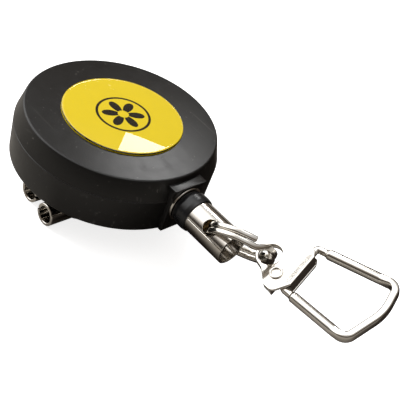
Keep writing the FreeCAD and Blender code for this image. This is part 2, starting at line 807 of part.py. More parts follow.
def hinge_pin():
    """Headed pin through both pairs of ears."""
    half = lever_width / 2.0 + fit_gap
    pin = cylinder(pin_radius, V(-half - pin_head, pin_y, -pin_drop), 2.0 * (half + pin_head), V(1, 0, 0))
    for x0 in (-half - pin_head, half):
        pin = pin.fuse(cylinder(pin_head_radius, V(x0, pin_y, -pin_drop), pin_head, V(1, 0, 0)))
    return pin


def torsion_spring():
    """Coils round the pin; behind it, one leg bears on the base plate and one on the lever."""
    wire = spring_wire / 2.0
    mean = pin_radius + 0.25 + wire
    pitch = spring_wire + 0.12
    spring = None
    x0 = -pitch * (spring_coils - 1) / 2.0
    for i in range(spring_coils):
        coil = Part.makeTorus(mean, wire, V(x0 + pitch * i, pin_y, -pin_drop), V(1, 0, 0))
        spring = coil if spring is None else spring.fuse(coil)
    span = pitch * (spring_coils - 1)
    spring = spring.fuse(cylinder(wire * 0.8, V(x0, pin_y, -pin_drop + mean), span, V(1, 0, 0)))
    top = clip_base_bottom - wire - fit_gap
    knee = pin_y - spring_knee
    end = knee - spring_leg
    upper = round_bar([V(x0, pin_y, -pin_drop + mean), V(x0, knee, top), V(x0, end, top)], wire, [spring_bend])
    bottom = lever_inner_top + wire + fit_gap
    lower = round_bar([V(x0 + span, pin_y, -pin_drop - mean), V(x0 + span, knee, bottom),
                       V(x0 + span, end, bottom)], wire, [spring_bend])
    return spring.fuse(upper).fuse(lower)


def swivel_rivet():
    """Rivet from under the clip's base plate into the arbor's foot."""
    top = floor_thickness + arbor_foot_thickness - axial_gap
    head_top = clip_base_bottom - fit_gap
    rivet = disc(swivel_shank_radius, head_top - swivel_head, top)
    return rivet.fuse(disc(swivel_head_radius, head_top - swivel_head, head_top))


def wave_washer():
    """Washer between the case and the clip's base plate."""
    gap = fit_gap
    return ring(washer_radius, swivel_shank_radius + pin_gap, clip_base_top + gap, -gap)


# ---------------------------------------------------------------- all pieces
os.makedirs("parts", exist_ok=True)
PIECES = {
    "rear_cover": rear_cover, "front_cover": front_cover, "label_disc": label_disc,
    "label_dome": label_dome, "arbor": arbor, "spool": spool, "spool_lid": spool_lid,
    "mainspring": mainspring, "slip_washer": slip_washer, "cord_winding": cord_winding,
    "cord_run": cord_run, "cord_tail": cord_tail, "eyelet": eyelet, "collar": collar,
    "end_tube": end_tube, "cord_stop": cord_stop, "split_ring": split_ring,
    "clip_plate": clip_plate, "plate_rivet": plate_rivet, "bail": bail,
    "clip_base": clip_base, "clip_lever": clip_lever, "hinge_pin": hinge_pin,
    "torsion_spring": torsion_spring, "swivel_rivet": swivel_rivet, "wave_washer": wave_washer,
}
for node, make in PIECES.items():
    piece = make()
    print(node, "valid", piece.isValid(), "solids", len(piece.Solids), "volume", round(piece.Volume, 2))
    save(piece, node)
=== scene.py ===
"""Retractable badge reel: finished surfaces, materials and a pale studio for the packed model.

Every size is in metres in the model's own frame: +X is the way the cord leaves, +Z is out of the
front face, and z = 0 is the underside of the back clip. Run as a script, it dresses the packed model
piece by piece; each piece and the studio has an operator of its own in the 3D view's sidebar.
"""
import math
import bmesh
import bpy
import numpy as np
from mathutils import Matrix, Vector


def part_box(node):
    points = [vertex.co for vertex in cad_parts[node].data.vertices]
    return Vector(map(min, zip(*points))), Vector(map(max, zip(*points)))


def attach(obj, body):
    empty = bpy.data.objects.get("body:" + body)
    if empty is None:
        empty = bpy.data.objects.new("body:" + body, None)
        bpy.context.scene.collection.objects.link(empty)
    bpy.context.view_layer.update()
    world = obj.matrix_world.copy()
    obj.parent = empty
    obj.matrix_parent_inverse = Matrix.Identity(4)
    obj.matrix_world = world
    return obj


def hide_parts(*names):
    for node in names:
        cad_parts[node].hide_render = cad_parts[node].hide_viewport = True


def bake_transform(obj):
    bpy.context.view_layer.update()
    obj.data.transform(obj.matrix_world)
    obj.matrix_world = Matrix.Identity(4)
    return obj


bl_info = {
    "name": "Badge reel surfaces",
    "version": (1, 0, 0),
    "blender": (4, 5, 0),
    "location": "View3D > Sidebar > Badge reel",
    "description": "Surfaces, finishes and studio of a retractable badge reel",
    "category": "Object",
}

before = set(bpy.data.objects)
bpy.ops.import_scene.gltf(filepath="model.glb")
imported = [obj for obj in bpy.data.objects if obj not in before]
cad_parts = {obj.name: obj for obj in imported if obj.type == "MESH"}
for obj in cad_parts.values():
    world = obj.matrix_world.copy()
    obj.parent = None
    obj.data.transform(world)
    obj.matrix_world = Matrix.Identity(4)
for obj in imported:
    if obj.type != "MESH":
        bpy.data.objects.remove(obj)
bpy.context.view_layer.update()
CASE_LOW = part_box("rear_cover")[0][2]
MM = 0.001
FIT = 0.04 * MM
DRUM_RADIUS = 11.34 * MM


# ------------------------------------------------------------------ properties
def length(name, description, mm):
    """Length property whose default is given in millimetres."""
    return bpy.props.FloatProperty(name=name, description=description, default=mm * MM, min=0.0,
                                   precision=5, unit="LENGTH", subtype="DISTANCE")


def angle(name, description, degrees):
    """Angle property whose default is given in degrees."""
    return bpy.props.FloatProperty(name=name, description=description, default=math.radians(degrees),
                                   unit="ROTATION", subtype="ANGLE")


def colour(name, description, rgb):
    """Colour property, linear RGB."""
    return bpy.props.FloatVectorProperty(name=name, description=description, default=rgb, size=3,
                                         min=0.0, max=1.0, subtype="COLOR")


def number(name, description, value, low=0.0, high=10.0):
    """Plain number property."""
    return bpy.props.FloatProperty(name=name, description=description, default=value, min=low, max=high)


class ReelCaseSize(bpy.types.PropertyGroup):
    """Sizes of the two covers and the nozzle."""
    seam_radius: length("Seam radius", "Radius of both covers where they meet", 20.5)
    front_radius: length("Front radius", "Radius of the front cover's face", 19.25)
    rear_radius: length("Rear radius", "Radius of the rear cover's floor", 20.25)
    inner_radius: length("Inner radius", "Radius of the rear cover's cavity", 18.75)
    thickness: length("Thickness", "Height of the closed case", 11.5)
    seam_height: length("Seam height", "Height of the seam above the case's back", 7.2)
    floor: length("Wall", "Thickness of the floor and the roof", 1.2)
    edge: length("Edge round", "Radius of the outer edges", 0.45)
    nozzle_half_width: length("Nozzle half width", "Half the width of the flat nozzle block", 4.0)
    nozzle_face: length("Nozzle face", "Distance of the block's face from the case's axis", 20.9)
    nozzle_depth: length("Nozzle depth", "Depth of the block from its face", 3.6)
    nozzle_height: length("Nozzle height", "Height of the cord's line above the case's back", 6.0)
    nozzle_top: length("Nozzle top", "Height of the visor's upper side", 10.45)
    visor: length("Visor", "Thickness of the visor", 0.35)
    bore: length("Bore", "Radius of the bore for the eyelet", 2.34)


class ReelLabelLook(bpy.types.PropertyGroup):
    """Sizes of the label and its motif."""
    radius: length("Radius", "Radius of the label", 12.15)
    disc: length("Disc", "Thickness of the printed disc", 0.2)
    dome: length("Dome", "Height of the dome above the face", 0.75)
    motif_radius: length("Motif radius", "Outer radius of the rosette", 4.3)
    motif_petals: bpy.props.IntProperty(name="Petals", description="Petals of the rosette", default=6, min=3,
                                        max=12)


class ReelCordEnd(bpy.types.PropertyGroup):
    """Sizes of the cord and what it carries."""
    cord: length("Cord", "Diameter of the cord", 0.9)
    bend: length("Cord bend", "Radius of the cord's bend at the eyelet", 2.7)
    cord_line: length("Cord line", "Radius at which the cord leaves the drum", 14.08)
    eyelet_radius: length("Eyelet", "Radius of the eyelet's flange", 3.8)
    collar_radius: length("Collar", "Radius of the rubber collar", 3.75)
    collar_start: length("Collar start", "Near end of the collar along X", 21.44)
    collar_end: length("Collar end", "Far end of the collar along X", 24.94)
    tube_radius: length("Tube radius", "Outer radius of the end tube", 3.35)
    tube_wall: length("Tube wall", "Sheet thickness of the end tube", 0.45)
    tube_start: length("Tube start", "Near end of the tube along X", 22.64)
    tube_mouth: length("Tube mouth", "Open end of the tube along X", 34.5)
    hole_x: length("Hole place", "Place of the cross holes along X", 30.0)
    hole_radius: length("Hole radius", "Radius of the cross holes", 1.65)
    hole_angle: angle("Hole angle", "Angle of the near hole, from -Y towards +Z", 47.0)
    seam_angle: angle("Seam angle", "Angle of the rolled seam, from -Y towards +Z", 16.6)
    seam_gap: length("Seam gap", "Width of the rolled seam", 0.14)
    ring_radius: length("Ring radius", "Mean radius of the split ring", 6.2)
    ring_wide: length("Ring wire", "Radial width of the ring's wire", 1.2)
    ring_thick: length("Ring coil", "Thickness of one coil", 1.1)
    ring_swing: angle("Ring swing", "Lean of the ring from the tube's axis", 21.0)
    ring_free: angle("Free end", "Place of the visible cut end on the ring", 50.0)


class ReelSnapSize(bpy.types.PropertyGroup):
    """Sizes and pose of the folded plate and its bail."""
    station: angle("Station", "Place of the plate on the ring", -6.9)
    slack: length("Slack", "How far the ring's wire lies from the hole's middle", 0.3)
    roll: angle("Roll", "Turn of the plate about X", 25.0)
    yaw: angle("Yaw", "Turn of the plate about Z", 12.5)
    pitch: angle("Pitch", "Turn of the plate about Y", -12.0)
    skew: angle("Skew", "Turn of the plate in its own plane", -3.0)
    sheet: length("Sheet", "Thickness of the plate's sheet", 0.55)
    neck: length("Neck", "Diameter of the bail's necks and stubs", 1.4)
    neck_length: length("Neck length", "Length of each neck", 2.3)
    wire: length("Wire", "Diameter of the bail's legs", 2.0)
    bow_width: length("Bow width", "Width of the pressed bow in the loop's plane", 1.5)
    bow_height: length("Bow height", "Height of the pressed bow across the plane", 2.3)
    bail_swing: angle("Bail swing", "Swing of the bail below the plate's plane", 6.0)
    hole_radius: length("Ring hole", "Radius of the plate's ring hole", 2.2)
    rivet_radius: length("Rivet head", "Radius of the rivet's rolled head", 1.3)


class ReelClipSize(bpy.types.PropertyGroup):
    """Sizes of the back clip."""
    sheet: length("Lever sheet", "Sheet thickness of the lever", 0.6)
    base_sheet: length("Base sheet", "Sheet thickness of the base", 0.8)
    width: length("Lever width", "Width of the lever", 10.7)
    tail: length("Tail", "Distance of the lever's tail behind the case's axis", 17.5)
    nose: length("Nose", "Distance of the nose ahead of the case's axis", 13.5)
    curl_radius: length("Curl radius", "Outer radius of the rolled tubes", 2.35)
    curl_length: length("Curl length", "Length of the near rolled tube", 5.3)
    curl_spacing: length("Curl spacing", "Distance between the rolled tubes", 6.9)
    curl_stagger: length("Curl stagger", "How far the far tube is set back", 1.2)
    tail_corner: length("Tail corner", "Chamfer of the strip's tail corners", 2.2)
    pin_behind: length("Pin place", "Distance of the pin behind the case's axis", 5.0)
    pin_drop: length("Pin drop", "Distance of the pin below the case's back", 3.6)
    pin_radius: length("Pin radius", "Radius of the hinge pin", 0.8)
    base_gap: length("Base gap", "Gap between the case and the clip's base", 0.45)
    coil_wire: length("Spring wire", "Wire of the torsion spring", 0.5)


class ReelFinishes(bpy.types.PropertyGroup):
    """Colours of the finishes."""
    plastic: colour("Case", "Black moulded plastic", (0.0045, 0.0042, 0.0038))
    label: colour("Label", "Yellow print", (0.83, 0.63, 0.022))
    motif: colour("Motif", "Dark print", (0.012, 0.010, 0.007))
    resin: colour("Dome", "Clear resin", (1.0, 0.985, 0.93))
    nickel: colour("Nickel", "Nickel plate", (0.80, 0.765, 0.71))
    rubber: colour("Rubber", "Black rubber", (0.008, 0.008, 0.009))
    cord: colour("Cord", "Braided cord", (0.02, 0.02, 0.021))
    spring: colour("Spring steel", "Dark strip steel", (0.33, 0.33, 0.34))
    nylon: colour("Nylon", "White moulded nylon", (0.72, 0.71, 0.68))
    zinc: colour("Zinc", "Zinc plated post", (0.55, 0.56, 0.58))
    brass: colour("Brass", "Crimped brass bead", (0.72, 0.52, 0.24))


class ReelStageLook(bpy.types.PropertyGroup):
    """Camera and light."""
    lens: number("Lens", "Focal length in millimetres", 81.0, 10.0, 300.0)
    key: number("Key", "Power of the window lamp in watts", 0.055, 0.0, 50.0)
    fill: number("Fill", "Strength of the world's light", 0.78, 0.0, 5.0)
    floor: colour("Floor", "Floor and backdrop", (0.94, 0.94, 0.94))


def setting(group):
    """Property group of the scene by its short name."""
    return getattr(bpy.context.scene, "reel_" + group)


# ------------------------------------------------------------------ surfaces
def grid_faces(rows, columns, wrap_rows, wrap_columns):
    """Quads between neighbours of a rows x columns grid; a wrapped side joins its last line to its first."""
    r = np.arange(rows if wrap_rows else rows - 1)[:, None]
    c = np.arange(columns if wrap_columns else columns - 1)[None, :]
    right = (c + 1) % columns
    up = (r + 1) % rows
    return np.stack([r * columns + c, r * columns + right, up * columns + right, up * columns + c],
                    axis=-1).reshape(-1, 4)


def make_piece(name, grids, material, smooth=35.0, uv=None):
    """Mesh of one or more grids, each (points, wrap_rows, wrap_columns); doubles merged, faces outwards."""
    points, faces, uvs, start = [], [], [], 0
    for grid in grids:
        p, wrap_rows, wrap_columns = grid[:3]
        rows, columns = p.shape[:2]
        quads = grid_faces(rows, columns, wrap_rows, wrap_columns)
        points.append(p.reshape(-1, 3))
        faces.append(quads + start)
        if uv is not None:
            r, c = quads // columns, quads % columns
            c = np.where((c == 0) & (np.roll(c, 1, axis=1) > 1), columns, c)
            uvs.append(np.stack([c / columns * uv[0], r / max(rows - 1, 1) * uv[1]], axis=-1).reshape(-1, 2))
        start += rows * columns
    mesh = bpy.data.meshes.new(name)
    mesh.from_pydata(np.concatenate(points).tolist(), [], np.concatenate(faces).tolist())
    if uv is not None:
        layer = mesh.uv_layers.new(name="along")
        layer.data.foreach_set("uv", np.concatenate(uvs).astype(np.float32).ravel())
    work = bmesh.new()
    work.from_mesh(mesh)
    bmesh.ops.remove_doubles(work, verts=work.verts, dist=2e-6)
    bmesh.ops.dissolve_degenerate(work, edges=work.edges, dist=1e-6)
    bmesh.ops.recalc_face_normals(work, faces=work.faces)
    work.to_mesh(mesh)
    work.free()
    mesh.polygons.foreach_set("use_smooth", np.ones(len(mesh.polygons), dtype=bool))
    mesh.set_sharp_from_angle(angle=math.radians(smooth))
    mesh.materials.append(material)
    piece = bpy.data.objects.new(name, mesh)
    bpy.context.scene.collection.objects.link(piece)
    return piece


def place_piece(piece, body, nodes):
    """Puts a finished piece on its body, in place of its plain nodes."""
    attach(piece, body)
    if nodes:
        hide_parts(*nodes)
    return piece


def rounded(corners, radii, steps=6):
    """Closed outline whose corners are tangent arcs: centre = corner + bisector * r / sin(half angle)."""
    corners = np.asarray(corners, float)
    lines = []
    for i, radius in enumerate(radii):
        here = corners[i]
        back = corners[i - 1] - here
        ahead = corners[(i + 1) % len(corners)] - here
        back /= np.linalg.norm(back)
        ahead /= np.linalg.norm(ahead)
        turn = math.acos(float(np.clip(back @ ahead, -1.0, 1.0)))
        if radius <= 0.0 or turn > math.pi - 1e-3:
            lines.append(here[None, :])
            continue
        reach = radius / math.tan(turn / 2.0)
        bisector = (back + ahead) / np.linalg.norm(back + ahead)
        centre = here + bisector * radius / math.sin(turn / 2.0)
        first = here + back * reach - centre
        last = here + ahead * reach - centre
        share = np.linspace(0.0, 1.0, steps + 1)[:, None]
        span = math.pi - turn
        arc = (np.sin((1.0 - share) * span) * first + np.sin(share * span) * last) / math.sin(span)
        lines.append(centre + arc)
    return np.concatenate(lines)


def lathe(profile, steps=160):
    """Turned surface: profile point (r, h) goes to (r cos a, r sin a, h) for a full turn of a."""
    a = np.linspace(0.0, 2.0 * math.pi, steps, endpoint=False)
    r, h = profile[:, 0][:, None], profile[:, 1][:, None]
    return np.stack([r * np.cos(a), r * np.sin(a), h + 0.0 * a], axis=-1), True, True


def put(points, origin, x_axis, y_axis, z_axis):
    """Points moved from XYZ to the given origin and axes: origin + x X + y Y + z Z."""
    axes = np.stack([x_axis, y_axis, z_axis]).astype(float)
    return points @ axes + np.asarray(origin, float)


def stand(points):
    """Points given above the case's back, lifted to the model's frame."""
    return points + np.array([0.0, 0.0, CASE_LOW])


def along_x(points, height):
    """A turned surface laid along +X at a height above the case's back: (x, y, z) to (z, y, -x)."""
    laid = np.stack([points[..., 2], points[..., 1], -points[..., 0]], axis=-1)
    return stand(laid + np.array([0.0, 0.0, height]))


def pad(outline, low, high, edge, steps=4):
    """Plate with rounded rims: the outline shrunk by edge (1 - cos t) at height edge sin t, and two caps."""
    following = np.roll(outline, -1, axis=0) - outline
    before = outline - np.roll(outline, 1, axis=0)
    way = sum(step / np.linalg.norm(step, axis=1)[:, None] for step in (following, before))
    normal = np.stack([way[:, 1], -way[:, 0]], axis=1)
    normal /= np.linalg.norm(normal, axis=1)[:, None]
    area = np.sum(outline[:, 0] * np.roll(outline[:, 1], -1) - np.roll(outline[:, 0], -1) * outline[:, 1])
    normal *= math.copysign(1.0, area)
    t = np.linspace(0.0, math.pi / 2.0, steps)
    shrink = edge * np.concatenate([1.0 - np.cos(t[::-1]), 1.0 - np.cos(t)])
    height = np.concatenate([low + edge - edge * np.sin(t[::-1]), high - edge + edge * np.sin(t)])
    rings = outline[None] - shrink[:, None, None] * normal[None]
    middle = np.repeat(outline.mean(axis=0)[None, None], len(outline), axis=1)
    flat = np.concatenate([middle, rings, middle])
    z = np.concatenate([[low], height, [high]])[:, None]
    return np.concatenate([flat, np.broadcast_to(z[..., None], flat.shape[:2] + (1,))], axis=-1), False, True


def bent_line(corners, radii, spacing):
    """Evenly spaced points on straight runs joined by tangent arcs of the given radii."""
    corners = np.asarray(corners, float)
    parts = [corners[:1]]
    for i, radius in enumerate(radii, start=1):
        back = corners[i - 1] - corners[i]
        ahead = corners[i + 1] - corners[i]
        back /= np.linalg.norm(back)
        ahead /= np.linalg.norm(ahead)
        turn = math.acos(float(np.clip(back @ ahead, -1.0, 1.0)))
        reach = radius / math.tan(turn / 2.0)
        centre = corners[i] + (back + ahead) / np.linalg.norm(back + ahead) * radius / math.sin(turn / 2.0)
        first, last = corners[i] + back * reach - centre, corners[i] + ahead * reach - centre
        span = math.pi - turn
        share = np.linspace(0.0, 1.0, 25)[:, None]
        parts.append(centre + (np.sin((1 - share) * span) * first + np.sin(share * span) * last)
                     / math.sin(span))
    parts.append(corners[-1:])
    line = np.concatenate(parts)
    gone = np.concatenate([[0.0], np.cumsum(np.linalg.norm(np.diff(line, axis=0), axis=1))])
    keep = np.concatenate([[True], np.diff(gone) > 1e-9])
    line, gone = line[keep], gone[keep]
    at = np.linspace(0.0, gone[-1], max(int(gone[-1] / spacing), 8))
    return np.stack([np.interp(at, gone, line[:, k]) for k in range(3)], axis=1), at


def sweep(line, up, wide, tall, power=2.0, sides=20, cap=True):
    """Bar along a line, section |s/wide|^p + |t/tall|^p = 1 on side and up directions, ends rounded off."""
    way = np.gradient(line, axis=0)
    way /= np.linalg.norm(way, axis=1)[:, None]
    up = np.broadcast_to(np.asarray(up, float), line.shape)
    side = np.cross(up, way)
    side /= np.linalg.norm(side, axis=1)[:, None]
    up = np.cross(way, side)
    count = len(line)
    wide = np.broadcast_to(np.asarray(wide, float), (count,)) / 2.0
    tall = np.broadcast_to(np.asarray(tall, float), (count,)) / 2.0
    power = np.broadcast_to(np.asarray(power, float), (count,))
    if cap:
        t = np.linspace(0.0, math.pi / 2.0, 5)[:-1]
        radius = np.minimum(wide, tall)[[0, -1]] * 0.2
        round_off = 0.8 + 0.2 * np.sin(t)
        grow = np.concatenate([[0.0], round_off, np.ones(count - 2), round_off[::-1], [0.0]])
        first = line[0] + way[0] * (radius[0] * (1.0 - np.cos(t)))[:, None]
        last = line[-1] - way[-1] * (radius[1] * (1.0 - np.cos(t)))[::-1][:, None]
        line = np.concatenate([line[:1], first, line[1:-1], last, line[-1:]])
        pick = np.concatenate([np.zeros(5, int), np.arange(1, count - 1), np.full(5, count - 1)])
        side, up, wide, tall, power = side[pick], up[pick], wide[pick], tall[pick], power[pick]
    else:
        grow = np.ones(count)
    a = np.linspace(0.0, 2.0 * math.pi, sides, endpoint=False) + math.pi / sides
    c, s = np.cos(a)[None, :], np.sin(a)[None, :]
    bulge = (np.abs(c) ** power[:, None] + np.abs(s) ** power[:, None]) ** (-1.0 / power[:, None])
    x = (wide * grow)[:, None] * c * bulge
    y = (tall * grow)[:, None] * s * bulge
    return line[:, None] + side[:, None] * x[..., None] + up[:, None] * y[..., None], False, True


def smooth_step(x, low, high):
    """0 below low, 1 above high, with 3t^2 - 2t^3 between."""
    t = np.clip((x - low) / (high - low), 0.0, 1.0)
    return t * t * (3.0 - 2.0 * t)


# ------------------------------------------------------------------ materials
class Nodes:
    """Short hand for adding and joining shader nodes in one tree."""

    def __init__(self, tree):
        self.tree = tree
        self.column = 0

    def add(self, kind, **inputs):
        """New node; keywords set its sockets by name (underscores for spaces), or join another socket."""
        node = self.tree.nodes.new(kind)
        node.location = (self.column, 0)
        self.column += 60
        for name, value in inputs.items():
            self.feed(node.inputs[int(name[1:]) if name[0] == "_" else name.replace("_", " ")], value)
        return node

    def feed(self, socket, value):
        """Sets a socket's value, or joins another node's output to it."""
        if isinstance(value, bpy.types.NodeSocket):
            self.tree.links.new(value, socket)
        elif isinstance(value, tuple) and len(value) == 3 and len(socket.default_value) == 4:
            socket.default_value = (*value, 1.0)
        else:
            socket.default_value = value

    def sums(self, operation, a, b=0.0, clamp=False):
        """Math node's output."""
        node = self.add("ShaderNodeMath", _0=a, _1=b)
        node.operation = operation
        node.use_clamp = clamp
        return node.outputs[0]

    def blend(self, factor, a, b):
        """Colour mix."""
        node = self.add("ShaderNodeMix")
        node.data_type = "RGBA"
        self.feed(node.inputs[0], factor)
        self.feed(node.inputs[6], a)
        self.feed(node.inputs[7], b)
        return node.outputs[2]

    def remap(self, value, low, high, to_low, to_high):
        """Clamped linear map."""
        return self.add("ShaderNodeMapRange", Value=value, From_Min=low, From_Max=high,
                        To_Min=to_low, To_Max=to_high).outputs[0]


def wear_group():
    """Group: fine scratches, specks and soft mottle over Object coordinates, built once."""
    name = "Handling wear"
    if name in bpy.data.node_groups:
        return bpy.data.node_groups[name]
    group = bpy.data.node_groups.new(name, "ShaderNodeTree")
    for label, value in (("Scratch", 0.5), ("Specks", 0.5), ("Mottle", 0.5), ("Scale", 1.0)):
        socket = group.interface.new_socket(name=label, in_out="INPUT", socket_type="NodeSocketFloat")
        socket.default_value = value
    group.interface.new_socket(name="Position", in_out="INPUT", socket_type="NodeSocketVector")
    group.interface.new_socket(name="Marks", in_out="OUTPUT", socket_type="NodeSocketFloat")
    group.interface.new_socket(name="Mottled", in_out="OUTPUT", socket_type="NodeSocketFloat")
    n = Nodes(group)
    given = n.add("NodeGroupInput")
    place = n.add("ShaderNodeVectorMath", _0=given.outputs["Position"])
    place.operation = "SCALE"
    n.feed(place.inputs[3], given.outputs["Scale"])
    lines = None
    for turn, seed in ((0.4, 3.0), (1.35, 8.0), (2.3, 15.0)):
        mapped = n.add("ShaderNodeMapping", Vector=place.outputs[0])
        mapped.inputs["Rotation"].default_value = (0.2, 0.1, turn)
        mapped.inputs["Location"].default_value = (seed, seed * 0.7, 0.0)
        mapped.inputs["Scale"].default_value = (60.0, 1500.0, 500.0)
        noise = n.add("ShaderNodeTexNoise", Vector=mapped.outputs[0], Scale=1.0, Detail=1.0)
        line = n.remap(noise.outputs[0], 0.70, 0.76, 0.0, 1.0)
        lines = line if lines is None else n.sums("MAXIMUM", lines, line)
    broad = n.add("ShaderNodeTexNoise", Vector=place.outputs[0], Scale=90.0, Detail=2.0)
    lines = n.sums("MULTIPLY", lines, n.remap(broad.outputs[0], 0.5, 0.66, 0.0, 1.0))
    dots = n.add("ShaderNodeTexNoise", Vector=place.outputs[0], Scale=1400.0, Detail=1.0)
    dots = n.remap(dots.outputs[0], 0.73, 0.79, 0.0, 1.0)
    marks = n.sums("ADD", n.sums("MULTIPLY", lines, given.outputs["Scratch"]),
                   n.sums("MULTIPLY", dots, given.outputs["Specks"]), clamp=True)
    cloud = n.add("ShaderNodeTexNoise", Vector=place.outputs[0], Scale=420.0, Detail=4.0)
    mottle = n.sums("MULTIPLY", cloud.outputs[0], given.outputs["Mottle"])
    out = n.add("NodeGroupOutput")
    n.feed(out.inputs["Marks"], marks)
    n.feed(out.inputs["Mottled"], mottle)
    return group


def new_material(name):
    """Empty material with a Principled shader: (material, nodes, shader)."""
    material = bpy.data.materials.new(name)
    material.use_nodes = True
    tree = material.node_tree
    tree.nodes.clear()
    n = Nodes(tree)
    shader = n.add("ShaderNodeBsdfPrincipled")
    out = n.add("ShaderNodeOutputMaterial")
    tree.links.new(shader.outputs[0], out.inputs["Surface"])
    return material, n, shader


def finished(name, base, metallic, roughness, scratch=0.3, specks=0.3, mottle=0.5, mark_colour=None,
             rough_gain=0.25, bump=0.02, scale=1.0, coat=0.0):
    """Finish with handling wear: marks tint and roughen it, the mottle stirs roughness and relief."""
    if name in bpy.data.materials:
        return bpy.data.materials[name]
    material, n, shader = new_material(name)
    place = n.add("ShaderNodeTexCoord").outputs["Object"]
    wear = n.add("ShaderNodeGroup")
    wear.node_tree = wear_group()
    for label, value in (("Scratch", scratch), ("Specks", specks), ("Mottle", mottle), ("Scale", scale)):
        wear.inputs[label].default_value = value
    n.feed(wear.inputs["Position"], place)
    marked = mark_colour if mark_colour is not None else tuple(min(1.0, c * 1.15 + 0.01) for c in base)
    n.feed(shader.inputs["Base Color"], n.blend(wear.outputs["Marks"], tuple(base), tuple(marked)))
    rough = n.sums("ADD", n.sums("MULTIPLY", wear.outputs["Mottled"], rough_gain), roughness - 0.5 * mottle
                   * rough_gain)
    n.feed(shader.inputs["Roughness"], n.sums("ADD", rough, n.sums("MULTIPLY", wear.outputs["Marks"], 0.15),
                                              clamp=True))
    shader.inputs["Metallic"].default_value = metallic
    shader.inputs["Coat Weight"].default_value = coat
    relief = n.add("ShaderNodeBump", Strength=bump, Distance=0.0002, Height=wear.outputs["Mottled"])
    n.feed(shader.inputs["Normal"], relief.outputs[0])
    return material


def case_plastic():
    """Satin black plastic with a fine moulded texture."""
    return finished("Black satin plastic", setting("finishes").plastic, 0.0, 0.31, scratch=0.4, specks=0.6,
                    mottle=0.9, mark_colour=(0.10, 0.095, 0.085), rough_gain=0.16, bump=0.09)


def nickel(kind="Nickel plate"):
    """Polished nickel plate; the rolled tube is duller than the plate and the wire."""
    dull = {"Nickel plate": 0.10, "Rolled nickel": 0.17, "Nickel wire": 0.15}[kind]
    return finished(kind, setting("finishes").nickel, 1.0, dull, scratch=0.35, specks=0.25,
                    mottle=0.8, mark_colour=(0.62, 0.58, 0.53), rough_gain=0.12, bump=0.05)


def label_print():
    """Yellow print and a dark rosette: a petal covers r < R |cos(n a / 2)|^0.7 outside a bare middle."""
    finishes, look = setting("finishes"), setting("label")
    material, n, shader = new_material("Yellow print")
    place = n.add("ShaderNodeTexCoord").outputs["Object"]
    split = n.add("ShaderNodeSeparateXYZ", Vector=place)
    x, y = split.outputs[0], split.outputs[1]
    r = n.sums("SQRT", n.sums("ADD", n.sums("MULTIPLY", x, x), n.sums("MULTIPLY", y, y)))
    a = n.sums("ARCTAN2", y, x)
    wave = n.sums("ABSOLUTE", n.sums("COSINE", n.sums("MULTIPLY", a, look.motif_petals / 2.0)))
    reach = n.sums("MULTIPLY", n.sums("POWER", wave, 0.7), look.motif_radius)
    edge = 0.00005
    petal = n.remap(n.sums("SUBTRACT", reach, r), -edge, edge, 0.0, 1.0)
    middle = n.remap(n.sums("SUBTRACT", r, look.motif_radius * 0.26), -edge, edge, 0.0, 1.0)
    band = n.sums("ABSOLUTE", n.sums("SUBTRACT", r, look.motif_radius * 1.22))
    ring = n.remap(n.sums("SUBTRACT", 0.00026, band), -edge, edge, 0.0, 1.0)
    dark = n.sums("MAXIMUM", n.sums("MULTIPLY", petal, middle), ring)
    grain = n.add("ShaderNodeTexNoise", Vector=place, Scale=260.0, Detail=3.0)
    base = tuple(finishes.label)
    yellow = n.blend(grain.outputs[0], tuple(c * 0.97 for c in base), tuple(min(c * 1.03, 1.0) for c in base))
    n.feed(shader.inputs["Base Color"], n.blend(dark, yellow, tuple(finishes.motif)))
    shader.inputs["Roughness"].default_value = 0.6
    shader.inputs["Specular IOR Level"].default_value = 0.0
    return material


def clear_resin():
    """Clear resin that lets lamps light the print below it."""
    material, n, shader = new_material("Clear resin")
    shader.inputs["Base Color"].default_value = (*setting("finishes").resin, 1.0)
    shader.inputs["Roughness"].default_value = 0.0
    shader.inputs["IOR"].default_value = 1.5
    shader.inputs["Transmission Weight"].default_value = 1.0
    through = n.add("ShaderNodeBsdfTransparent")
    rays = n.add("ShaderNodeLightPath")
    shade = n.sums("MAXIMUM", rays.outputs["Is Shadow Ray"], rays.outputs["Is Diffuse Ray"])
    mix = n.add("ShaderNodeMixShader", _0=shade)
    n.feed(mix.inputs[1], shader.outputs[0])
    n.feed(mix.inputs[2], through.outputs[0])
    n.feed(material.node_tree.nodes["Material Output"].inputs["Surface"], mix.outputs[0])
    return material


def braid():
    """Braided cord: crossed waves over the piece's own length and girth."""
    material, n, shader = new_material("Braided cord")
    uv = n.add("ShaderNodeUVMap")
    uv.uv_map = "along"
    split = n.add("ShaderNodeSeparateXYZ", Vector=uv.outputs[0])
    waves = []
    for turn in (1.0, -1.0):
        phase = n.sums("ADD", n.sums("MULTIPLY", split.outputs[1], 260.0),
                       n.sums("MULTIPLY", split.outputs[0], turn * 6.0 * math.pi))
        waves.append(n.sums("SINE", phase))
    strand = n.sums("MAXIMUM", waves[0], waves[1])
    base = tuple(setting("finishes").cord)
    # Painted shade and highlight: the cord's colour runs from 0.4 times its own in the grooves to 1.8 times
    # on the strand crowns.
    shade = n.remap(strand, -0.6, 1.0, 0.0, 1.0)
    n.feed(shader.inputs["Base Color"], n.blend(shade, tuple(c * 0.4 for c in base),
                                                tuple(c * 1.8 for c in base)))
    shader.inputs["Roughness"].default_value = 0.75
    relief = n.add("ShaderNodeBump", Strength=0.5, Distance=0.00008, Height=shade)
    n.feed(shader.inputs["Normal"], relief.outputs[0])
    return material


def dress_node(node, material):
    """Gives a packed node a finish in place of its plain one."""
    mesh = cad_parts[node].data
    if len(mesh.materials):
        mesh.materials[0] = material
    else:
        mesh.materials.append(material)


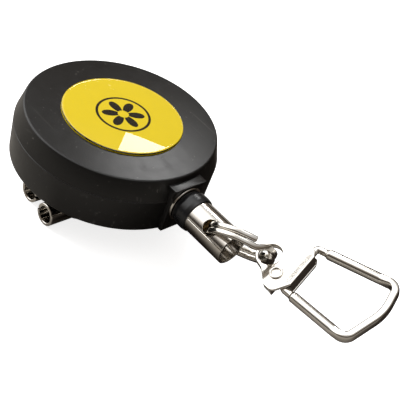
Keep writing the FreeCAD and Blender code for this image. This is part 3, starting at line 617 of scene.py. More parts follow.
# ------------------------------------------------------------------ case
def make_case():
    """Both covers and the nozzle block."""
    s = setting("case")
    plastic = case_plastic()
    seam, top, lip = s.seam_height, s.thickness, 0.12 * MM
    front_inner = s.inner_radius - 0.7 * MM
    front = rounded([(0, s.thickness - s.floor), (front_inner, s.thickness - s.floor), (front_inner, seam),
                     (s.seam_radius - lip, seam), (s.seam_radius, seam + lip), (s.front_radius, top),
                     (0, top)],
                    [0, 0.5 * MM, 0, 0.03 * MM, 0.06 * MM, s.edge, 0])
    rear = rounded([(0, 0), (s.rear_radius, 0), (s.seam_radius, seam - lip), (s.seam_radius - lip, seam),
                    (s.inner_radius, seam), (s.inner_radius, s.floor), (0, s.floor)],
                   [0, s.edge, 0.06 * MM, 0.03 * MM, 0, 0.5 * MM, 0])
    visor_low = s.nozzle_top - s.visor
    block_front = nozzle_part(True, visor_low)
    block_rear = nozzle_part(False, 0.3 * MM)
    half = s.nozzle_half_width
    depth = s.nozzle_depth
    visor = rounded([(s.nozzle_face - depth, -half), (s.nozzle_face + 0.5 * MM, -half),
                     (s.nozzle_face + 0.5 * MM, half), (s.nozzle_face - depth, half)],
                    [0, 0.35 * MM, 0.35 * MM, 0])
    shelf = rounded([(s.nozzle_face - depth, -half), (s.nozzle_face + 0.2 * MM, -half),
                     (s.nozzle_face + 0.2 * MM, half), (s.nozzle_face - depth, half)],
                    [0, 0.25 * MM, 0.25 * MM, 0])
    slab, slab_r, slab_c = pad(visor, visor_low, s.nozzle_top, 0.12 * MM)
    under, under_r, under_c = pad(shelf, visor_low - 0.42 * MM, visor_low - 0.06 * MM, 0.1 * MM)
    shell, wrap_r, wrap_c = lathe(front, 220)
    piece = make_piece("front_shell", [(stand(shell), wrap_r, wrap_c), (stand(block_front), False, True),
                                       (stand(slab), slab_r, slab_c), (stand(under), under_r, under_c)],
                       plastic)
    place_piece(piece, "case", ["front_cover"])
    shell, wrap_r, wrap_c = lathe(rear, 220)
    piece = make_piece("rear_shell", [(stand(shell), wrap_r, wrap_c), (stand(block_rear), False, True)],
                       plastic)
    place_piece(piece, "case", ["rear_cover"])


def nozzle_part(upper, outer_height):
    """Half of the bored block on one side of the seam: a web from the bore to the outline."""
    s = setting("case")
    cut = s.seam_height - s.nozzle_height
    end = math.asin(cut / s.bore)
    half, reach = s.nozzle_half_width, outer_height - s.nozzle_height
    gap = 0.035 * MM
    if upper:
        arc = np.linspace(end, math.pi - end, 33)
        corners = np.array([(half, cut + gap), (half, reach), (-half, reach), (-half, cut + gap)])
    else:
        arc = np.linspace(end, -math.pi - end, 65)
        corners = np.array([(half, cut - gap), (half, reach), (-half, reach), (-half, cut - gap)])
    gone = np.concatenate([[0.0], np.cumsum(np.linalg.norm(np.diff(corners, axis=0), axis=1))])
    at = np.linspace(0.0, gone[-1], len(arc))
    at[np.argmin(abs(at - gone[1]))] = gone[1]
    at[np.argmin(abs(at - gone[2]))] = gone[2]
    outer = np.stack([np.interp(at, gone, corners[:, k]) for k in (0, 1)], axis=1)
    inner = s.bore * np.stack([np.cos(arc), np.sin(arc)], axis=1)
    face, back = s.nozzle_face, s.nozzle_face - s.nozzle_depth
    edge = 0.18 * MM
    rows = [(0.0, back), (0.0, face), (0.5, face)]
    t = np.linspace(0.0, math.pi / 2.0, 5)
    span = np.linalg.norm(outer - inner, axis=1)[:, None]
    grid = [np.concatenate([inner * (1 - k) + outer * k, np.full((len(arc), 1), x)], axis=1) for k, x in rows]
    for angle_ in t:
        pull = (outer - inner) / span * edge * (1.0 - math.sin(angle_))
        grid.append(np.concatenate([outer - pull,
                                    np.full((len(arc), 1), face - edge * (1.0 - math.cos(angle_)))], axis=1))
    grid.append(np.concatenate([outer, np.full((len(arc), 1), back)], axis=1))
    g = np.array(grid)
    points = np.stack([g[..., 2], g[..., 0], g[..., 1] + s.nozzle_height], axis=-1)
    ends = points.mean(axis=0)
    closed = np.concatenate([np.repeat(ends[None, :1], len(points), axis=0), points,
                             np.repeat(ends[None, -1:], len(points), axis=0)], axis=1)
    return np.swapaxes(closed, 0, 1)


def make_label():
    """Printed disc and the clear dome over it."""
    s, c = setting("label"), setting("case")
    low = c.thickness
    disc = np.array([(0, low), (s.radius, low), (s.radius, low + s.disc), (0, low + s.disc)])
    points, a, b = lathe(disc, 200)
    place_piece(make_piece("printed_disc", [(stand(points), a, b)], label_print()), "case",
                ["label_disc"])
    base = low + s.disc + 0.01 * MM
    crown = low + s.dome
    shoulder = base + 0.5 * (crown - base)
    t = np.linspace(0.0, math.pi / 2.0, 9)
    side = np.stack([s.radius - 0.55 * MM * (1.0 - np.cos(t)), base + (shoulder - base) * np.sin(t)], axis=1)
    r = np.linspace(s.radius - 0.55 * MM, 0.0, 24)[1:]
    top = np.stack([r, shoulder + (crown - shoulder) * (1.0 - (r / (s.radius - 0.55 * MM)) ** 2)], axis=1)
    points, a, b = lathe(np.concatenate([[(0.0, base)], side, top]), 200)
    place_piece(make_piece("resin_dome", [(stand(points), a, b)], clear_resin(), smooth=60.0), "case",
                ["label_dome"])


# ------------------------------------------------------------------ cord and its end
def make_cord():
    """Cord from the drum, round the eyelet's mouth and along X to its stop."""
    s, c = setting("cord"), setting("case")
    bend_x = c.nozzle_face - c.nozzle_depth + 0.4 * MM
    turn = math.acos(s.cord_line / bend_x)
    start = (s.cord_line * math.cos(turn), -s.cord_line * math.sin(turn), 0.0)
    far = s.tube_start + s.tube_wall + 0.6 * MM
    line, gone = bent_line([start, (bend_x, 0, 0), (far, 0, 0)], [s.bend], 0.25 * MM)
    points, a, b = sweep(stand(line + np.array([0, 0, c.nozzle_height])), (0, 0, 1), s.cord, s.cord, sides=16)
    piece = make_piece("cord", [(points, a, b)], braid(), uv=(1.0, gone[-1] / MM / 10.0))
    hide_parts("cord_run", "cord_tail")
    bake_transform(piece)


def make_eyelet():
    """Rolled grommet in the nozzle."""
    s, c = setting("cord"), setting("case")
    face, back = c.nozzle_face, c.nozzle_face - c.nozzle_depth
    bore, barrel, r = 1.5 * MM, 2.3 * MM, s.eyelet_radius
    profile = rounded([(bore, back + 0.9 * MM), (bore, face + 0.5 * MM), (r, face + 0.5 * MM), (r, face),
                       (barrel, face), (barrel, back), (barrel + 0.7 * MM, back),
                       (barrel + 0.7 * MM, back - 0.4 * MM), (bore + 0.5 * MM, back - 0.4 * MM)],
                      [0.3 * MM, 0.45 * MM, 0.24 * MM, 0.05 * MM, 0, 0, 0.1 * MM, 0.15 * MM, 0.3 * MM])
    points, a, b = lathe(profile, 96)
    place_piece(make_piece("nozzle_eyelet", [(along_x(points, c.nozzle_height), a, b)], nickel()), "case",
                ["eyelet"])


def make_collar():
    """Rubber collar that laps over the tube's end."""
    s, c = setting("cord"), setting("case")
    bore = s.tube_radius + FIT
    hole = s.cord / 2.0 + FIT
    seat = s.tube_start - FIT
    profile = rounded([(hole, s.collar_start), (s.collar_radius - 0.35 * MM, s.collar_start),
                       (s.collar_radius, s.collar_start + 1.2 * MM),
                       (s.collar_radius, s.collar_end - 0.9 * MM),
                       (s.collar_radius - 0.16 * MM, s.collar_end), (bore, s.collar_end), (bore, seat),
                       (hole, seat)],
                      [0.1 * MM, 0.45 * MM, 0.8 * MM, 0.8 * MM, 0.14 * MM, 0.03 * MM, 0, 0])
    points, a, b = lathe(profile, 120)
    rubber = finished("Black rubber", setting("finishes").rubber, 0.0, 0.3, scratch=0.1, specks=0.3,
                      mottle=0.7,
                      mark_colour=(0.04, 0.04, 0.04), rough_gain=0.2, bump=0.06)
    place_piece(make_piece("rubber_collar", [(along_x(points, c.nozzle_height), a, b)], rubber), "cord_end",
                ["collar"])


def tube_half(start, end, hole):
    """Half of the tube's wall round one hole: straight lines run from the hole's edge to the half's
    edges on the unrolled sheet, which is then rolled up; outside, hole wall, inside and rims in turn."""
    s = setting("cord")
    radius, wall, x0, x1 = s.tube_radius, s.tube_wall, s.tube_start, s.tube_mouth
    low, high = (start - hole) * radius, (end - hole) * radius
    left, right = x0 - s.hole_x, x1 - s.hole_x
    corners = [math.atan2(v, u) for u, v in ((right, high), (left, high), (left, low), (right, low))]
    f = np.unique(np.concatenate([np.linspace(-math.pi, math.pi, 121)[:-1], corners]))
    c, t = np.cos(f), np.sin(f)
    with np.errstate(divide="ignore"):
        far_x = np.where(c > 0, right, left) / np.where(abs(c) < 1e-9, 1e-9, c)
        far_y = np.where(t > 0, high, low) / np.where(abs(t) < 1e-9, 1e-9, t)
    far = np.minimum(np.where(far_x > 0, far_x, 9.0), np.where(far_y > 0, far_y, 9.0))
    edge = 0.07 * MM
    steps = np.linspace(0.0, 1.0, 22)
    rings = [(k, radius) for k in steps[::-1]]
    rings[0] = (1.0, radius - edge)
    rings.insert(1, ("rim", radius))
    rings[-1] = ("lip", radius)
    rings.append((0.0, radius - edge))
    inner = radius - wall
    rings += [(0.0, inner + edge), ("lip", inner)]
    rings += [(k, inner) for k in steps[1:-1]] + [("rim", inner), (1.0, inner + edge)]
    rows = []
    for k, r in rings:
        near = np.arcsin(np.clip(s.hole_radius * t / r, -1, 1)) * radius
        hole_x, hole_y = s.hole_radius * c, near
        out_x, out_y = far * c, far * t
        run = np.hypot(out_x - hole_x, out_y - hole_y)
        share = k
        if k == "rim":
            share = np.maximum(1.0 - edge / run, 0.5)
        elif k == "lip":
            share = np.minimum(edge / run, 0.5)
        px = hole_x + (out_x - hole_x) * share
        py = hole_y + (out_y - hole_y) * share
        a = hole + py / radius
        rows.append(np.stack([px + s.hole_x, -r * np.cos(a), r * np.sin(a) + setting("case").nozzle_height],
                             axis=-1))
    return stand(np.array(rows)), True, True


def make_tube():
    """Rolled tube with its seam, two cross holes and an end wall, and the cord's stop inside it."""
    s, c = setting("cord"), setting("case")
    slit = s.seam_gap / 2.0 / s.tube_radius
    half_turn = s.seam_angle + math.pi
    grids = [tube_half(s.seam_angle + slit, half_turn, s.hole_angle),
             tube_half(half_turn, half_turn + math.pi - slit, s.hole_angle + math.pi)]
    wall = np.array([(s.cord, s.tube_start + 0.001 * MM),
                     (s.tube_radius - s.tube_wall * 0.9, s.tube_start + 0.001 * MM),
                     (s.tube_radius - s.tube_wall * 0.9, s.tube_start + s.tube_wall),
                     (s.cord, s.tube_start + s.tube_wall)])
    points, a, b = lathe(wall, 64)
    grids.append((along_x(points, c.nozzle_height), a, b))
    place_piece(make_piece("rolled_tube", grids, nickel("Rolled nickel")), "tube", ["end_tube"])
    begin = s.tube_start + s.tube_wall + FIT
    bead = rounded([(0, begin), (1.6 * MM, begin), (1.6 * MM, begin + 2.2 * MM), (0, begin + 2.2 * MM)],
                   [0, 0.35 * MM, 0.5 * MM, 0])
    points, a, b = lathe(bead, 48)
    pinch = 1.0 - 0.16 * np.exp(-((points[..., 2:] - begin - 1.1 * MM) / (0.45 * MM)) ** 2)
    points[..., :1] *= pinch
    brass = finished("Crimped brass", setting("finishes").brass, 1.0, 0.3)
    place_piece(make_piece("crimped_stop", [(along_x(points, c.nozzle_height), a, b)], brass), "cord_end",
                ["cord_stop"])


def ring_axes():
    """Centre, outward, across and normal directions of the split ring, above the case's back."""
    s, c = setting("cord"), setting("case")
    across = np.array([0.0, -math.cos(s.hole_angle), math.sin(s.hole_angle)])
    side = np.cross(across, (1.0, 0.0, 0.0))
    outward = np.array([math.cos(s.ring_swing), 0.0, 0.0]) + side * math.sin(s.ring_swing)
    crossing = s.tube_radius - s.tube_wall / 2.0
    reach = math.sqrt(s.ring_radius ** 2 - crossing ** 2)
    centre = np.array([s.hole_x, 0.0, c.nozzle_height]) + outward * reach
    return centre, outward, across, np.cross(outward, across)


def make_ring():
    """Split ring: a flat wire that runs almost twice round, stepping from one coil to the other."""
    s = setting("cord")
    centre, outward, across, normal = ring_axes()
    first, last = s.ring_free, s.ring_free + math.radians(686.0)
    step = s.ring_free + math.radians(329.0)
    a = np.linspace(first, last, 620)
    half = s.ring_thick / 2.0 + 0.02 * MM
    lift = -half + 2.0 * half * smooth_step(a, step, step + math.radians(30.0))
    spring = 0.10 * MM * (1.0 - smooth_step(a, first, first + 1.2))
    lift = lift - spring
    line = centre + s.ring_radius * (np.cos(a)[:, None] * outward + np.sin(a)[:, None]
                                     * across) + lift[:, None] * normal
    points, r, c = sweep(stand(line), normal, s.ring_wide, s.ring_thick, power=3.6, sides=24)
    place_piece(make_piece("split_ring_wire", [(points, r, c)], nickel("Nickel wire"), smooth=50.0), "ring",
                ["split_ring"])


# ------------------------------------------------------------------ snap
def snap_axes():
    """Origin in the bail's plane under the ring hole, and the plate's length, width and normal directions."""
    s, ring = setting("snap"), setting("cord")
    turn = (Matrix.Rotation(s.roll, 3, "X") @ Matrix.Rotation(s.yaw, 3, "Z")
            @ Matrix.Rotation(s.pitch, 3, "Y") @ Matrix.Rotation(s.skew, 3, "Z"))
    axes = np.array(turn)
    u, v, w = axes[:, 0], axes[:, 1], axes[:, 2]
    centre, outward, across, _ = ring_axes()
    towards = outward * math.cos(s.station) + across * math.sin(s.station)
    hole = centre + towards * (ring.ring_radius - s.slack)
    gap = s.neck + 0.12 * MM
    leaves = (gap / 2.0 + s.sheet + gap / 2.0 - 0.1 * MM - s.sheet) / 2.0
    return hole + u * 0.1 * MM + v * 0.43 * MM - w * leaves, u, v, w


LEAF = ((6.93, 3.27), (6.33, 4.42), (4.18, 5.32), (3.18, 5.67), (2.23, 5.27), (1.0, 4.45), (-0.1, 4.05),
        (-1.4, 3.7),
        (-2.45, 2.95), (-3.05, 1.8), (-3.15, 0.65), (-3.05, -0.7), (-2.6, -1.85), (-1.6, -2.85),
        (-0.6, -3.25),
        (0.35, -3.8), (1.7, -5.15), (2.75, -6.25), (4.2, -6.6), (4.9, -6.5), (5.35, -6.05), (6.93, -3.78))
HOLE = (-0.1, -0.43)
RIVET = (3.3, -3.15)
WEB = (6.93, -3.78, 3.27)


def leaf_rim(count=260):
    """Rim of a leaf seen from the ring hole: how far its rounded outline is at equal turns."""
    radii = [0.0, 0.25, 0.5, 0.6, 0.8, 1.2, 1.2, 1.5, 1.5, 1.2, 1.2, 1.5, 1.2, 1.2, 1.5, 1.2, 1.5, 0.9, 0.7,
             0.35, 0.25, 0.0]
    rim = rounded(LEAF, radii, 6)
    share = np.linspace(0.0, 1.0, 24, endpoint=False)[None, :, None]
    rim = (rim[:, None] * (1.0 - share) + np.roll(rim, -1, axis=0)[:, None] * share).reshape(-1, 2)
    a = np.arctan2(rim[:, 1] - HOLE[1], rim[:, 0] - HOLE[0])
    corners = [math.atan2(v - HOLE[1], WEB[0] - HOLE[0]) for v in WEB[1:]]
    turn = np.unique(np.concatenate([np.linspace(-math.pi, math.pi, count, endpoint=False), corners]))
    order = np.argsort(a)
    far = np.interp(turn, a[order], np.hypot(rim[:, 0] - HOLE[0], rim[:, 1] - HOLE[1])[order], period=2
                    * math.pi)
    return turn, far


def leaf(low, high, lower):
    """Closed leaf: rings between the hole and the rim, on both faces, with rounded rims; the lower leaf
    drops from the upper one's side to the channel's floor beside the fold."""
    s = setting("snap")
    turn, far = leaf_rim()
    if lower:
        corner = (np.sin(turn) * far + HOLE[1] < WEB[1]) & (np.cos(turn) > 0.1)
        far = np.where(corner, np.minimum(far, (4.45 - HOLE[0]) / np.maximum(np.cos(turn), 0.1)), far)
    hole = s.hole_radius / MM
    edge = 0.2
    t = np.linspace(0.0, 1.0, 26)
    q = np.linspace(0.0, math.pi / 2.0, 4)
    rows = []
    for k in t:
        rows.append((hole + edge + (far - edge - hole - edge) * k, low + 0.0 * far))
    for k in q[1:]:
        rows.append((far - edge + edge * math.sin(k), low + edge - edge * math.cos(k) + 0.0 * far))
    for k in q[::-1]:
        rows.append((far - edge + edge * math.sin(k), high - edge + edge * math.cos(k) + 0.0 * far))
    for k in t[::-1][1:]:
        rows.append((hole + edge + (far - edge - hole - edge) * k, high + 0.0 * far))
    for k in q[1:]:
        rows.append((hole + edge - edge * math.sin(k) + 0.0 * far, high - edge + edge * math.cos(k) + 0.0
                     * far))
    for k in q[::-1][:-1]:
        rows.append((hole + edge - edge * math.sin(k) + 0.0 * far, low + edge - edge * math.cos(k) + 0.0
                     * far))
    r = np.array([row[0] for row in rows])
    w = np.array([row[1] for row in rows])
    u = HOLE[0] + r * np.cos(turn)
    v = HOLE[1] + r * np.sin(turn)
    if lower:
        w = w - (s.neck / MM + 0.02 + s.sheet / MM) * smooth_step(u, 4.05, 4.85)
    return np.stack([u, v, w], axis=-1) * MM


def make_plate():
    """Folded plate: two leaves and the rounded fold, and the hollow rivet through them."""
    s = setting("snap")
    origin, u, v, w = snap_axes()
    t = s.sheet / MM
    gap = s.neck / MM + 0.12
    top = gap / 2.0 + t
    upper = leaf(top - t, top, False)
    lower = leaf(gap / 2.0 - 0.1 - t, gap / 2.0 - 0.1, True)
    outer = rounded([(WEB[0] - 1.2, top), (WEB[0], top), (WEB[0], -top), (WEB[0] - 1.2, -top),
                     (WEB[0] - 1.2, -top + t), (WEB[0] - t, -top + t), (WEB[0] - t, top - t),
                     (WEB[0] - 1.2, top - t)],
                    [0, 0.42, 0.42, 0, 0, 0.08, 0.08, 0], 8)
    share = np.array([0.0, 0.004, 0.996, 1.0])
    reach = WEB[1] + (WEB[2] - WEB[1]) * share
    web = np.stack([np.concatenate([outer, np.full((len(outer), 1), y)], axis=1) for y in reach])
    web = np.stack([web[..., 0], web[..., 2], web[..., 1]], axis=-1) * MM
    grids = [(upper, True, True), (lower, True, True), (web, False, True)]
    grids += [(cap_strip(web[k]), False, False) for k in (0, -1)]
    grids = [(stand(put(g[0], origin, u, v, w)), g[1], g[2]) for g in grids]
    place_piece(make_piece("folded_plate", grids, nickel()), "plate", ["clip_plate"])
    head = s.rivet_radius / MM
    low = gap / 2.0 - 0.1 - t - 0.2
    profile = rounded([(0.8, low), (0.8, top + 0.35), (head, top + 0.35), (head, top), (0.95, top),
                       (0.95, low + 0.25),
                       (1.35, low + 0.25), (1.35, low)],
                      [0.1, 0.22, 0.17, 0.05, 0, 0, 0.1, 0.1]) * MM
    points, a, b = lathe(profile, 56)
    points = points + np.array([RIVET[0], RIVET[1], 0.0]) * MM
    place_piece(make_piece("hollow_rivet", [(stand(put(points, origin, u, v, w)), a, b)], nickel()), "plate",
                ["plate_rivet"])


def cap_strip(outline):
    """Face of a C-shaped outline whose second half runs back along its first: rungs between both halves."""
    half = len(outline) // 2
    return np.stack([outline[:half], outline[::-1][:half]])


# Millimetres: the legs' places across the plate, the bow's corners from the hinge, and their bends.
UPPER_LEG, LOWER_LEG = 5.58, -4.57
BOW_CORNERS = [(15.9, 7.1), (16.85, 1.3), (14.35, -6.55)]
BOW_BENDS = [1.7, 9.0, 1.8]
NECK_BEND = 0.72
STUB = 2.4


def make_bail():
    """Wire loop: stubs in the channel, slim necks, round legs and a pressed bow, as one bent bar."""
    s = setting("snap")
    origin, u, v, w = snap_axes()
    t, neck, wire = s.sheet / MM, s.neck / MM, s.wire / MM
    hinge = WEB[0] - t - 0.06 - neck / 2.0
    bow = [(hinge + x, y, 0) for x, y in BOW_CORNERS]
    corners = [(hinge, WEB[2] - STUB, 0), (hinge, UPPER_LEG, 0), *bow, (hinge, LOWER_LEG, 0),
               (hinge, WEB[1] + STUB, 0)]
    line, _ = bent_line(corners, [NECK_BEND, *BOW_BENDS, NECK_BEND], 0.12)
    ahead = line[:, 0] - hinge
    leg = smooth_step(ahead, s.neck_length / MM - 0.35, s.neck_length / MM + 0.25)
    bow = smooth_step(ahead + 0.09 * (line[:, 1] < 0) * 10, 12.2, 14.6)
    round_size = neck + (wire - neck) * leg
    wide = round_size + (s.bow_width / MM - round_size) * bow
    tall = round_size + (s.bow_height / MM - round_size) * bow
    points, a, b = sweep(line, (0, 0, 1), wide, tall, power=2.0 + 1.3 * bow, sides=32)
    c, d = math.cos(s.bail_swing), math.sin(s.bail_swing)
    x = points[..., 0] - hinge
    points = np.stack([hinge + x * c + points[..., 2] * d, points[..., 1], points[..., 2] * c - x * d],
                      axis=-1) * MM
    place_piece(make_piece("wire_bail", [(stand(put(points, origin, u, v, w)), a, b)], nickel("Nickel wire"),
                           smooth=50.0),
                "loop", ["bail"])


# ------------------------------------------------------------------ back clip
def make_clip():
    """Lever with its two scrolls, base plate, pin, torsion spring, swivel rivet and wave washer."""
    s = setting("clip")
    metal = nickel()
    drop = CASE_LOW
    half, t = s.width / 2.0, s.sheet
    tail, nose, pin_y = -s.tail, s.nose, -s.pin_behind
    edge = 0.1 * MM
    start, cut = tail + s.curl_length - t, s.tail_corner
    strip = rounded([(-half + cut, start), (half - cut, start), (half, start + cut), (half, nose),
                     (-half, nose),
                     (-half, start + cut)], [0.6 * MM, 0.6 * MM, 0.8 * MM, 0.5 * MM, 0.5 * MM, 0.8 * MM])
    grids = [pad(strip, -drop, -drop + t, edge)]
    grids.append((rolled_sheet(s.curl_spacing / 2.0, 1.0, tail), False, True))
    grids.append((rolled_sheet(-s.curl_spacing / 2.0, -1.0, tail + s.curl_stagger), False, True))
    for side in (1.0, -1.0):
        outline = rounded([(pin_y - 2.3 * MM, -drop + 0.1 * MM), (pin_y + 2.3 * MM, -drop + 0.1 * MM),
                           (pin_y + 1.6 * MM, -s.pin_drop + 1.4 * MM),
                           (pin_y - 1.6 * MM, -s.pin_drop + 1.4 * MM)],
                          [0, 0, 1.2 * MM, 1.2 * MM])
        p, a, b = pad(outline, 0.0, t, edge)
        x = half - t + p[..., 2] if side > 0 else -half + p[..., 2]
        grids.append((np.stack([x, p[..., 0], p[..., 1]], axis=-1), a, b))
    lip_top = -s.base_gap - s.base_sheet - 1.1 * MM
    lip = rounded([(-half, -drop + 0.1 * MM), (half, -drop + 0.1 * MM), (half, lip_top), (-half, lip_top)],
                  [0, 0, 0.5 * MM, 0.5 * MM])
    p, a, b = pad(lip, 0.0, t, edge)
    grids.append((np.stack([p[..., 0], nose - t + p[..., 2], p[..., 1]], axis=-1), a, b))
    lifted = [(stand(g[0]), g[1], g[2]) for g in grids]
    place_piece(make_piece("rolled_lever", lifted, metal), "lever", ["clip_lever"])
    dress_node("clip_base", metal)
    grip = half + FIT
    pin = rounded([(0, -grip - 0.4 * MM), (1.3 * MM, -grip - 0.4 * MM), (1.3 * MM, -grip),
                   (s.pin_radius, -grip),
                   (s.pin_radius, grip), (1.3 * MM, grip), (1.3 * MM, grip + 0.4 * MM), (0, grip + 0.4 * MM)],
                  [0, 0.25 * MM, 0.05 * MM, 0, 0, 0.05 * MM, 0.25 * MM, 0])
    points, a, b = lathe(pin, 48)
    points = np.stack([points[..., 2], points[..., 0] + pin_y, points[..., 1] - s.pin_drop], axis=-1)
    place_piece(make_piece("headed_pin", [(stand(points), a, b)], metal), "jaw", ["hinge_pin"])
    make_coil()
    head_top = -s.base_gap - s.base_sheet - FIT
    rivet = rounded([(0, head_top - 0.6 * MM), (2.6 * MM, head_top - 0.6 * MM), (2.6 * MM, head_top),
                     (1.3 * MM, head_top), (1.3 * MM, 1.55 * MM), (0, 1.55 * MM)],
                    [0, 0.4 * MM, 0.05 * MM, 0, 0.2 * MM, 0])
    points, a, b = lathe(rivet, 48)
    place_piece(make_piece("turned_rivet", [(stand(points), a, b)], metal), "case",
                ["swivel_rivet"])
    a = np.linspace(0.0, 2.0 * math.pi, 96, endpoint=False)
    ring = np.array([(1.4, -0.09), (4.15, -0.09), (4.15, 0.09), (1.4, 0.09)]) * MM
    wave = -s.base_gap / 2.0 + 0.1 * MM * np.cos(3.0 * a)[None, :]
    points = np.stack([ring[:, :1] * np.cos(a), ring[:, :1] * np.sin(a), ring[:, 1:] + wave], axis=-1)
    place_piece(make_piece("wavy_washer", [(stand(points), True, True)], spring_steel()), "case",
                ["wave_washer"])


def rolled_sheet(x, side, start):
    """One tube of the tail: a sheet rolled from its flat side outwards and over as a closing spiral."""
    s = setting("clip")
    t = s.sheet
    mean = s.curl_radius - t / 2.0
    low = -CASE_LOW + t / 2.0
    a = np.linspace(math.radians(-84.0), math.radians(262.0), 90)
    shrink = mean * (1.0 - 0.06 * smooth_step(a, 3.2, 4.6))
    line = np.stack([x + side * shrink * np.sin(a), low + mean - shrink * np.cos(a)], axis=1)
    way = np.gradient(line, axis=0)
    way /= np.linalg.norm(way, axis=1)[:, None]
    normal = np.stack([-way[:, 1], way[:, 0]], axis=1)
    y0, y1, e = start, -s.tail + s.curl_length, 0.08 * MM
    section = np.concatenate([line + normal * t / 2.0, (line - normal * t / 2.0)[::-1]])
    inset = np.concatenate([line + normal * (t / 2.0 - e), (line - normal * (t / 2.0 - e))[::-1]])
    middle = np.concatenate([line, line[::-1]])
    rows = [(middle, y0), (inset, y0), (section, y0 + e), (section, y1 - e), (inset, y1), (middle, y1)]
    return np.stack([np.stack([p[:, 0], np.full(len(p), y), p[:, 1]], axis=1) for p, y in rows])


def make_coil():
    """Torsion spring: a helix about the pin with a straight leg to each jaw."""
    s = setting("clip")
    wire = s.coil_wire
    mean = s.pin_radius + 0.25 * MM + wire / 2.0
    a = np.linspace(0.0, 2.0 * math.pi * 4.0 + math.pi, 260)
    x = -1.24 * MM + 2.48 * MM * a / a[-1]
    helix = np.stack([x, -s.pin_behind + mean * np.sin(a), -s.pin_drop + mean * np.cos(a)], axis=1)
    top = -s.base_gap - s.base_sheet - wire / 2.0 - FIT
    low = -CASE_LOW + s.sheet + wire / 2.0 + FIT
    back, half = -s.pin_behind, 1.24 * MM
    lead = np.array([[-half, back - 3.6 * MM, top], [-half, back - 2.2 * MM, top],
                     [-half, back - 0.9 * MM, -s.pin_drop + mean + 0.02 * MM]])
    trail = np.array([[half, back - 0.9 * MM, -s.pin_drop - mean - 0.02 * MM],
                      [half, back - 2.2 * MM, low], [half, back - 3.6 * MM, low]])
    line = np.concatenate([lead, helix, trail])
    gone = np.concatenate([[0.0], np.cumsum(np.linalg.norm(np.diff(line, axis=0), axis=1))])
    at = np.linspace(0.0, gone[-1], 420)
    line = np.stack([np.interp(at, gone, line[:, k]) for k in range(3)], axis=1)
    points, r, c = sweep(stand(line), (1.0, 0.02, 0.03), wire, wire, sides=12)
    place_piece(make_piece("coil_spring", [(points, r, c)], spring_steel(), smooth=60.0), "jaw",
                ["torsion_spring"])


def spring_steel():
    """Dark rolled strip and spring wire."""
    return finished("Spring steel", setting("finishes").spring, 1.0, 0.32, scratch=0.5, specks=0.2)


# ------------------------------------------------------------------ mechanism
def make_mechanism():
    """Drum, its lid, post, washer, mainspring and the wound cord."""
    f = setting("finishes")
    nylon = finished("White nylon", f.nylon, 0.0, 0.45, scratch=0.1, specks=0.15,
                     mark_colour=(0.6, 0.58, 0.54))
    zinc = finished("Zinc plate", f.zinc, 1.0, 0.35, scratch=0.4)
    for node in ("spool", "spool_lid", "slip_washer"):
        dress_node(node, nylon)
    dress_node("arbor", zinc)
    dress_node("mainspring", spring_steel())
    low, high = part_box("cord_winding")
    inner, outer = DRUM_RADIUS, high[0] - 0.02 * MM
    z = np.linspace(low[2] + 0.02 * MM, high[2] - 0.02 * MM, 61)
    turns = 3.0 * (z - z[0]) / (z[-1] - z[0])
    bulge = 0.45 * MM * (1.0 - np.sqrt(np.clip(1.0 - (2.0 * (turns % 1.0) - 1.0) ** 2, 0.0, 1.0)))
    profile = np.concatenate([np.stack([outer - bulge * 0.8, z], axis=1), [(inner, z[-1]), (inner, z[0])]])
    points, a, b = lathe(profile, 160)
    place_piece(make_piece("wound_cord", [(points, a, b)], braid(), uv=(40.0, 1.0)), "spool",
                ["cord_winding"])


